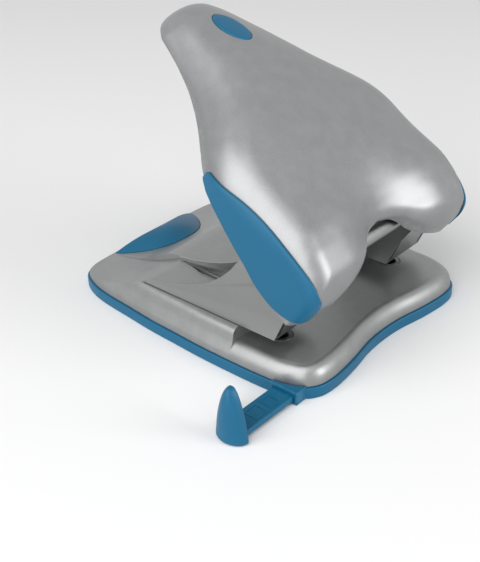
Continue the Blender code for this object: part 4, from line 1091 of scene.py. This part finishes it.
    def _tray(self) -> bpy.types.Object:
        """Make the tray with its rounded rim, lip, guide collar and guide ribs.

        Returns:
            The tray.
        """
        outline = self._outline()
        lip_outer = self.ledge + self.sheet + self.gap
        wall = lip_outer + self.tray_wall
        lip_top = self.rim_height + self.lip_height
        levels = self.rim_levels + ((lip_outer, self.rim_height), (lip_outer, lip_top),
                                    (wall, lip_top), (wall, self.tray_floor))
        tray = Bench.loft("tray_moulding", [
            [(x, y, level) for x, y in inset(outline, distance)] for distance, level in levels])
        side = self.half_width + self.overrun
        Bench.combine(tray, Bench.block(
            "lip_cut", (-side, self.lip_rear, self.rim_height),
            (side, self.rear + self.overrun, lip_top + self.overrun)))
        outer = -self._rim_half(-self.guide_centre) - self.collar_proud
        low = -self.guide_centre - self.collar_half
        collar = Bench.block(
            "collar_body", (outer, low, 0.0),
            (2 * self.ledge - self._rim_half(low), low + 2 * self.collar_half, self.collar_height))
        Bench.combine(collar, Bench.raised("collar_cut", inset(outline, self.ledge - self.gap),
                                           self.rim_height, self.collar_height + self.overrun))
        Bench.soften(collar, self.collar_round)
        Bench.combine(tray, collar, "UNION")
        inner_side, outer_side = self.rib_sides
        for way, _ in SIDES:
            near = -self.guide_centre + way * self.guide_half
            low, high = sorted((near - way * inner_side, near + way * outer_side))
            start = wall / 2 - self._rim_half(low)
            Bench.combine(tray, Bench.block(
                "rib_body", (start, low, self.tray_floor / 2),
                (start + self.rib_length, high, self.rim_height)), "UNION")
        Bench.combine(tray, Bench.block(
            "guide_slot_cut",
            (outer - self.overrun, -self.guide_centre - self.guide_half, self.tray_floor),
            (self.slot_end, -self.guide_centre + self.guide_half,
             self.tray_floor + self.slot_height)))
        Bench.finish(tray, angle=35.0)
        return tray


@dataclass
class LeverShell(SubAssembly):
    """The moulded lever cover with its two side trims and the oval inlay."""

    half_width: float = 0.0550
    reach: float = 0.1315
    crown: float = 0.0080
    crown_front: float = 0.25
    crown_full: float = 0.30
    lobe_side: float = 0.62
    wall: float = 0.0014
    half_grid: int = 44
    front_rows: tuple = (
        (0.0, 0.012, 0.185, 0.050), (0.145, 0.0, 0.157, 0.055), (0.247, -0.022, 0.117, 0.065),
        (0.327, -0.052, 0.074, 0.080), (0.409, -0.077, 0.055, 0.10), (0.491, -0.093, 0.038, 0.12),
        (0.60, -0.1065, 0.005, 0.13), (0.709, -0.115, -0.032, 0.14), (0.80, -0.117, -0.068, 0.15),
        (0.882, -0.113, -0.103, 0.15), (0.945, -0.107, -0.136, 0.16), (0.985, -0.096, -0.174, 0.17),
        (1.0, -0.080, -0.227, 0.17),
    )
    side_rows: tuple = (
        (0.0, 1.0, -0.227, 0.17), (0.114, 1.0, -0.21, 0.18), (0.228, 1.0, -0.13, 0.20),
        (0.342, 1.0, -0.05, 0.21), (0.410, 0.982, -0.015, 0.22), (0.475, 0.91, -0.01, 0.22),
        (0.535, 0.80, -0.01, 0.22), (0.595, 0.68, -0.02, 0.22), (0.655, 0.58, -0.025, 0.22),
        (0.722, 0.495, -0.025, 0.21), (0.798, 0.425, -0.03, 0.19), (0.86, 0.37, -0.05, 0.17),
        (0.92, 0.315, -0.08, 0.15),
    )
    tip_rows: tuple = (
        (0.0, 1.0, -0.155, 0.13), (0.25, 0.995, -0.15, 0.13), (0.5, 0.982, -0.135, 0.13),
        (0.75, 0.957, -0.11, 0.14), (1.0, 0.92, -0.08, 0.15),
    )
    top_rows: tuple = (
        (-0.13, 0.13, 0.20), (-0.06, 0.18, 0.33), (0.0, 0.225, 0.39), (0.04, 0.285, 0.415),
        (0.09, 0.35, 0.44), (0.19, 0.42, 0.45), (0.34, 0.445, 0.455), (0.49, 0.436, 0.436),
        (0.63, 0.40, 0.40), (0.72, 0.35, 0.35), (0.80, 0.285, 0.285), (0.87, 0.225, 0.225),
        (0.93, 0.16, 0.16), (0.97, 0.08, 0.08), (1.0, -0.03, -0.03),
    )
    trim_sheet: float = 0.0011
    trim_limit: float = 0.925
    trim_shares: tuple = (0.0, 0.012, 0.03, 0.06, 0.10, 0.15, 0.21, 0.28, 0.36, 0.44, 0.53, 0.62,
                          0.71, 0.80, 0.90, 0.97)
    trim_outline: tuple = (
        (0.440, 0.010), (0.425, 0.075), (0.340, 0.160), (0.245, 0.222), (0.120, 0.262),
        (0.018, 0.262), (-0.050, 0.235), (-0.090, 0.180), (-0.112, 0.095), (-0.115, -0.020),
        (-0.106, -0.095), (-0.076, -0.155), (-0.030, -0.200), (0.018, -0.213), (0.104, -0.195),
        (0.180, -0.148), (0.263, -0.090), (0.346, -0.030), (0.405, -0.008),
    )
    search_step: float = 0.005
    search_end: float = 0.3
    trim_edge: float = 0.05
    oval_along: float = 0.1045
    oval_half_length: float = 0.0105
    oval_half_width: float = 0.0056
    oval_depth: float = 0.0022
    oval_rise: float = 0.0005
    oval_edge: tuple = ((0.0, -0.0001), (0.00008, 0.0001), (0.0003, 0.00024), (0.0008, 0.00034),
                        (0.0018, 0.00044), (0.0034, 0.0005), (0.0054, 0.00052))
    screw_places: tuple = ((-0.022, 0.040), (0.022, 0.040), (0.0, 0.083))
    boss_radius: float = 0.0036
    boss_foot: float = 0.0145
    screw_hole: tuple = (0.0018, 0.0105, 0.0187)

    def __post_init__(self) -> None:
        """Refine the tables."""
        self.front_rows, self.side_rows, self.tip_rows, self.top_rows = (
            spline(rows, 12) for rows in (self.front_rows, self.side_rows, self.tip_rows,
                                          self.top_rows))

    def build(self) -> None:
        """Make the cover, the trims and the oval."""
        sheet = self._sheet()
        surface = BVHTree.FromPolygons([tuple(v.co) for v in sheet.data.vertices],
                                       [tuple(p.vertices) for p in sheet.data.polygons])
        for way, side in SIDES:
            self.hand_over(self._trim(side, way, surface), Slot.TEAL_PLASTIC, "lever",
                           f"{side}_side_trim")
        self.hand_over(self._cover(sheet), Slot.SILVER_PLASTIC, "lever", "lever_cover")
        self.hand_over(self._oval(), Slot.TEAL_PLASTIC, "lever", "oval_inlay")

    def _top(self, x: float, along: float) -> float:
        """Find the height of the cover's top before its edge is rounded.

        Args:
            x: The place across.
            along: The place along.

        Returns:
            The height.
        """
        share = along / self.reach
        middle, lobe = (read_table(self.top_rows, share, column) for column in (1, 2))
        mix = smooth_share(abs(x) / self.half_width / self.lobe_side)
        width = read_table(self.side_rows, share, 1) * self.half_width
        growth = smooth_share(share / self.crown_full)
        growth = self.crown_front + (1 - self.crown_front) * growth
        return ((middle + (lobe - middle) * mix) * self.half_width
                - self.crown * growth * min((x / width) ** 2, 1.0))

    def _place(self, column: float, row: float) -> tuple[float, float]:
        """Find a point of the cover's plan.

        Args:
            column: From -1 on the left rim to 1 on the right one.
            row: From 0 at the front rim to 1 at the tip.

        Returns:
            Its place across and along.
        """
        front = read_table(self.front_rows, abs(column), 1)
        tip = read_table(self.tip_rows, abs(column), 1)
        width = read_table(self.side_rows, self.side_rows[-1][0] * row, 1)
        return (column * width * self.half_width, (front + (tip - front) * row) * self.reach)

    def _edge(self, column: float, row: float) -> tuple[float, ...]:
        """Find the rim's shape at a point on the rim.

        Args:
            column: The column, as in _place.
            row: The row.

        Returns:
            The rim's height and its edge round.
        """
        rows, share = self.side_rows, self.side_rows[-1][0] * row
        if row in (0.0, 1.0):
            rows, share = self.tip_rows if row else self.front_rows, abs(column)
        return tuple(read_table(rows, share, which) * self.half_width for which in (2, 3))

    @staticmethod
    def _nearest(x: float, along: float, rim: list) -> tuple[float, float, float]:
        """Find the nearest point of the rim.

        Args:
            x: The place across.
            along: The place along.
            rim: Points (x, along, height, round).

        Returns:
            The distance to it, and its height and edge round.
        """
        best = min(range(len(rim)),
                   key=lambda at: (rim[at][0] - x) ** 2 + (rim[at][1] - along) ** 2)
        found = (math.inf, 0.0, 0.0)
        for first in (best - 1, best):
            start, end = rim[first], rim[(first + 1) % len(rim)]
            span = (end[0] - start[0], end[1] - start[1])
            size = max(span[0] ** 2 + span[1] ** 2, 1e-16)
            share = limited(((x - start[0]) * span[0] + (along - start[1]) * span[1]) / size)
            distance = math.hypot(x - start[0] - span[0] * share,
                                  along - start[1] - span[1] * share)
            if distance < found[0]:
                found = (distance, start[2] + (end[2] - start[2]) * share,
                         start[3] + (end[3] - start[3]) * share)
        return found

    def _sheet(self) -> bpy.types.Object:
        """Make the cover's outer face: a rounded top and a skirt down to the rim.

        Returns:
            The sheet, without thickness, in the lever's own frame.
        """
        half = self.half_grid
        columns = [math.sin(math.pi / 2 * step / half) for step in range(-half, half + 1)]
        columns[0], columns[-1] = -1.0, 1.0
        rows = [(1 - math.cos(math.pi * step / (2 * half))) / 2 for step in range(2 * half + 1)]
        rows[-1] = 1.0
        keys = [(column, 0.0) for column in columns] + [(1.0, row) for row in rows[1:]]
        keys += [(column, 1.0) for column in reversed(columns[:-1])]
        keys += [(-1.0, row) for row in reversed(rows[1:-1])]
        rim = [(*self._place(*key), *self._edge(*key)) for key in keys]
        lines = []
        for row in rows:
            line = []
            for column in columns:
                x, along = self._place(column, row)
                distance, low, edge = self._nearest(x, along, rim)
                top = self._top(x, along)
                edge = min(edge, top - low)
                inside = limited(1 - distance / edge)
                line.append((x, along, top - edge * (1 - math.sqrt(1 - inside ** 2))))
            lines.append(line)
        sheet = Bench.loft("lever_moulding", lines, sheet=True)
        with Bench.editing(sheet):
            bpy.ops.mesh.region_to_loop()
            bpy.ops.mesh.extrude_edges_move()
        for vertex in sheet.data.vertices:
            if vertex.select:
                vertex.co.z = self._nearest(vertex.co.x, vertex.co.y, rim)[1]
        Bench.close(sheet, fill=False)
        if max(sheet.data.polygons, key=lambda face: face.center.z).normal.z < 0:
            sheet.data.flip_normals()
        return sheet

    def _cover(self, sheet: bpy.types.Object) -> bpy.types.Object:
        """Give the sheet its wall, its screw bosses and the opening for the oval.

        Args:
            sheet: The cover's outer face.

        Returns:
            The same object as the finished cover.
        """
        Bench.work(sheet, "SOLIDIFY", thickness=self.wall, offset=-1.0, use_even_offset=True)
        for x, along in self.screw_places:
            top = self._top(x, along) - self.wall / 2
            Bench.combine(sheet, Bench.round_bar("boss_body", self.boss_radius, self.boss_foot, top,
                                                 (x, along)), "UNION")
            Bench.combine(sheet, Bench.round_bar("boss_cut", *self.screw_hole, (x, along)))
        levels = ((0.0, -self.oval_depth - self.overrun), (0.0, self.oval_rise + self.overrun))
        Bench.combine(sheet, self._oval_body("oval_cut", self.gap, levels))
        sheet.data.transform(self.lever_place())
        Bench.finish(sheet, angle=40.0, weighted=False)
        return sheet

    def _oval_body(self, name: str, grow: float, levels: tuple) -> bpy.types.Object:
        """Make an oval plug, tilted as the top is at its place.

        Args:
            name: The object's name.
            grow: How much larger than the inlay it is.
            levels: How far inwards and how high each of its rings is.

        Returns:
            The plug.
        """
        turns = [2 * math.pi * (step + 0.5) / 72 for step in range(72)]
        rings = []
        for inwards, level in levels:
            width, length = (size + grow - inwards
                             for size in (self.oval_half_width, self.oval_half_length))
            rings.append([(width * math.cos(a), length * math.sin(a), level) for a in turns])
        low = self._top(0.0, self.oval_along - self.oval_half_length)
        high = self._top(0.0, self.oval_along + self.oval_half_length)
        plug = Bench.loft(name, rings)
        tilt = Matrix.Rotation(math.atan2(high - low, 2 * self.oval_half_length), 4, "X")
        plug.data.transform(Matrix.Translation((0.0, self.oval_along, (low + high) / 2)) @ tilt)
        return plug

    def _oval(self) -> bpy.types.Object:
        """Make the oval inlay.

        Returns:
            The inlay.
        """
        oval = self._oval_body("oval_cap", 0.0, ((0.0, -self.oval_depth), *self.oval_edge))
        oval.data.transform(self.lever_place())
        Bench.finish(oval, angle=50.0, weighted=False)
        return oval

    def _on_side(self, point: tuple, centre: tuple, share: float, way: int,
                 surface: BVHTree) -> tuple:
        """Find a point of the leaf on the cover's side.

        Args:
            point: A point (along, up) of the leaf's outline.
            centre: The leaf's centre.
            share: How far from the outline to the centre.
            way: -1 on the left and 1 on the right.
            surface: The cover's outer face.

        Returns:
            The place and the face's direction.
        """
        place = [a + (b - a) * share for a, b in zip(point, centre)]
        hit = surface.ray_cast(Vector((way * 0.08, *place)), Vector((-way, 0.0, 0.0)))
        if hit[0] is None:
            hit = surface.find_nearest(Vector((way * self.half_width, *place)))
        return hit[0], hit[1]

    def _starts(self, leaf: list, centre: tuple, way: int, surface: BVHTree) -> list:
        """Find how far in each line of the leaf starts, to stay on the cover's flank.

        Args:
            leaf: The leaf's outline.
            centre: Its centre.
            way: -1 on the left and 1 on the right.
            surface: The cover's outer face.

        Returns:
            A share of the way to the centre for each point, without jumps.
        """
        starts = []
        for point in leaf:
            start = 0.0
            while start < self.search_end:
                place, _ = self._on_side(point, centre, start, way, surface)
                if abs(place.x) >= self.trim_limit * self.half_width:
                    break
                start += self.search_step
            starts.append(start)
        for _ in range(6):
            starts = [max(starts[at], (starts[at - 1] + starts[(at + 1) % len(starts)]) / 2)
                      for at in range(len(starts))]
        return starts

    @staticmethod
    def _outward(rings: list, facing: list) -> list:
        """Find smooth outward directions at rings of points.

        Args:
            rings: The points, from the edge to the centre.
            facing: The rough direction at each.

        Returns:
            Unit vectors in the same order.
        """
        count, last = len(rings[0]), len(rings) - 1
        out = []
        for at, ring in enumerate(rings):
            line = []
            for index in range(count):
                around = ring[(index + 2) % count] - ring[index - 2]
                inwards = rings[min(at + 1, last)][index] - rings[max(at - 1, 0)][index]
                straight = around.cross(inwards)
                if straight.length < 1e-12:
                    straight = facing[at][index].copy()
                straight.normalize()
                line.append(-straight if straight.dot(facing[at][index]) < 0 else straight)
            out.append(line)
        for _ in range(4):
            out = [[(line[index - 1] + line[index] * 2 + line[(index + 1) % count]
                     + out[max(at - 1, 0)][index] + out[min(at + 1, last)][index]).normalized()
                    for index in range(count)] for at, line in enumerate(out)]
        return out

    def _trim(self, side: str, way: int, surface: BVHTree) -> bpy.types.Object:
        """Make a leaf-shaped trim that lies on the cover's side.

        Args:
            side: The side's name.
            way: -1 on the left and 1 on the right.
            surface: The cover's outer face.

        Returns:
            The trim.
        """
        leaf = [(a * self.reach, h * self.half_width)
                for a, h in spline(self.trim_outline, 8, closed=True)]
        centre = (sum(a for a, _ in leaf) / len(leaf), sum(h for _, h in leaf) / len(leaf))
        starts = self._starts(leaf, centre, way, surface)
        rings, facing = [], []
        for share in self.trim_shares:
            hits = [self._on_side(point, centre, start + (1 - start) * share, way, surface)
                    for point, start in zip(leaf, starts)]
            rings.append([hit[0] for hit in hits])
            facing.append([hit[1] for hit in hits])
        out = self._outward(rings, facing)
        faces = []
        for rise in (0.0, self.trim_sheet):
            face = []
            for share, ring, line in zip(self.trim_shares, rings, out):
                lift = 1 - 0.5 * (1 - min(share / self.trim_edge, 1.0)) ** 2
                face.append([tuple(point + outwards * (self.gap + rise * lift))
                             for point, outwards in zip(ring, line)])
            faces.append(face)
        trim = Bench.loft(f"{side}_leaf_trim", list(reversed(faces[0])) + faces[1])
        trim.data.transform(self.lever_place())
        Bench.finish(trim, angle=50.0, weighted=False)
        return trim


@dataclass
class PaperGuide(SubAssembly):
    """The sliding bar with its rounded end stop."""

    centre: float = 0.0180
    width: float = 0.0108
    low: float = 0.0015
    height: float = 0.0028
    edge_round: float = 0.0004
    inner_end: float = 0.0140
    fin_inner: float = 0.0915
    fin_centre: float = 0.0182
    fin_height: float = 0.0243
    fin_half_width: float = 0.0077
    fin_bulge: float = 0.0058
    fin_shares: tuple = (
        (0.0, 0.92, 0.88), (0.035, 1.0, 1.0), (0.16, 0.96, 1.0), (0.30, 0.90, 1.0),
        (0.42, 0.84, 0.99), (0.55, 0.75, 0.96), (0.70, 0.62, 0.90), (0.82, 0.49, 0.81),
        (0.92, 0.34, 0.68), (0.98, 0.19, 0.50), (1.0, 0.08, 0.34),
    )
    mark_places: tuple = ((-0.082, -0.0745), (-0.0725, -0.0665))
    mark_inset: float = 0.0019
    mark_line: float = 0.0008
    mark_root: float = 0.0006
    mark_rise: float = 0.00022
    mark_cut: float = 0.001

    def build(self) -> None:
        """Make the guide."""
        bar = Bench.block(
            "guide_bar",
            (-self.fin_inner - self.fin_bulge / 2, -self.centre - self.width / 2, self.low),
            (self.inner_end, -self.centre + self.width / 2, self.low + self.height))
        Bench.soften(bar, self.edge_round)
        Bench.combine(bar, self._fin(), "UNION")
        for start, end in self.mark_places:
            Bench.combine(bar, self._mark(start, end), "UNION")
        Bench.finish(bar, angle=40.0)
        self.hand_over(bar, Slot.TEAL_PLASTIC, "guide", "paper_guide")

    def _fin(self) -> bpy.types.Object:
        """Make the bulged end stop.

        Returns:
            The stop.
        """
        rings = []
        for up, wide, deep in spline(self.fin_shares, 4):
            ring = []
            for step in range(41):
                angle = math.pi * step / 40
                ring.append((-self.fin_inner - self.fin_bulge * deep * math.sin(angle),
                             -self.fin_centre + self.fin_half_width * wide * math.cos(angle),
                             self.gap + self.fin_height * limited(up)))
            rings.append(ring)
        return Bench.loft("end_stop_body", rings)

    def _mark(self, start: float, end: float) -> bpy.types.Object:
        """Make one plain raised frame on the bar's top.

        Args:
            start: Where it starts along X.
            end: Where it ends.

        Returns:
            The frame.
        """
        top = self.low + self.height
        near = -self.centre + self.width / 2 - self.mark_inset
        far = -self.centre - self.width / 2 + self.mark_inset
        line = self.mark_line
        mark = Bench.block("guide_mark", (start, far, top - self.mark_root),
                           (end, near, top + self.mark_rise))
        Bench.combine(mark, Bench.block("mark_cut", (start + line, far + line, top - self.mark_cut),
                                        (end - line, near - line, top + self.mark_cut)))
        return mark


@dataclass
class SteelWork(SubAssembly):
    """The folded towers, the shaft, the pins and what holds them."""

    merge: float = 0.000002
    flatness: float = math.radians(0.5)
    fold_round: float = 0.00018
    edge_round: float = 0.00015
    spring_wire: float = 0.0005
    spring_radius: float = 0.0053
    spring_low: float = 0.0228
    spring_high: float = 0.0399
    spring_turns: int = 6
    turn_steps: int = 36
    wire_sides: int = 10
    end_turn: float = 0.4
    flat_turn: float = 0.5
    eased_share: float = 0.25

    def build(self) -> None:
        """Make the rounded copies of the steel nodes, and the springs."""
        for row in SUBPARTS:
            node, slot = row["node"], Slot(row["material_slot"])
            if slot in (Slot.PLATED_STEEL, Slot.HARDENED_STEEL):
                self._rounded(node, slot)
        spring = self._spring()
        twin = bpy.data.objects.new("right_wound_spring", spring.data.copy())
        bpy.context.scene.collection.objects.link(twin)
        twin.data.transform(Matrix.Translation((2 * self.pin_side, 0.0, 0.0)))
        for (way, side), coil in zip(SIDES, (spring, twin)):
            self.hand_over(coil, Slot.SPRING_STEEL, "base", f"{side}_return_spring")
            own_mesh(coil)

    def _rounded(self, node: str, slot: Slot) -> None:
        """Stand a copy with merged, rounded edges for a steel node.

        Args:
            node: The node's name.
            slot: Its finish.
        """
        copy = bpy.data.objects.new(f"{node}_steel", frame["nodes"][node].data.copy())
        bpy.context.scene.collection.objects.link(copy)
        with Bench.editing(copy):
            bpy.ops.mesh.remove_doubles(threshold=self.merge)
            bpy.ops.mesh.dissolve_limited(angle_limit=self.flatness)
        folded = node.endswith("_bracket")
        Bench.soften(copy, self.fold_round if folded else self.edge_round, segments=2, angle=45.0)
        Bench.finish(copy, angle=40.0)
        self.hand_over(copy, slot, BODY_OF[node], node)

    def _spring(self) -> bpy.types.Object:
        """Make the left return spring as a wound wire with flat ends.

        Returns:
            The spring.
        """
        rings = []
        first, last = self.spring_low + self.spring_wire, self.spring_high - self.spring_wire
        for step in range(self.spring_turns * self.turn_steps + 1):
            turned = step / self.turn_steps
            eased = (turned - self.end_turn) / (self.spring_turns - 2 * self.end_turn)
            even = (turned - self.flat_turn) / (self.spring_turns - 2 * self.flat_turn)
            share = smooth_share(eased) * self.eased_share + limited(even) * (1 - self.eased_share)
            angle = 2 * math.pi * turned
            ring = []
            for point in range(self.wire_sides):
                turn = 2 * math.pi * point / self.wire_sides
                out = self.spring_radius + self.spring_wire * math.cos(turn)
                height = first + (last - first) * share + self.spring_wire * math.sin(turn)
                ring.append((out * math.cos(angle) - self.pin_side, out * math.sin(angle), height))
            rings.append(ring)
        spring = Bench.loft("left_wound_spring", rings)
        Bench.finish(spring, angle=50.0, weighted=False)
        return spring


def main() -> None:
    """Build the studio and every sub-assembly, and dress what is carried over."""
    logging.basicConfig(level=logging.INFO, format="%(message)s")
    Studio().build()
    paintshop = Paintshop()
    for assembly in (BaseShell, LeverShell, PaperGuide, SteelWork):
        assembly(paintshop).build()
    paintshop.dress_nodes()
    bpy.context.scene.view_settings.view_transform = "Standard"


if __name__ == "__main__":
    main()
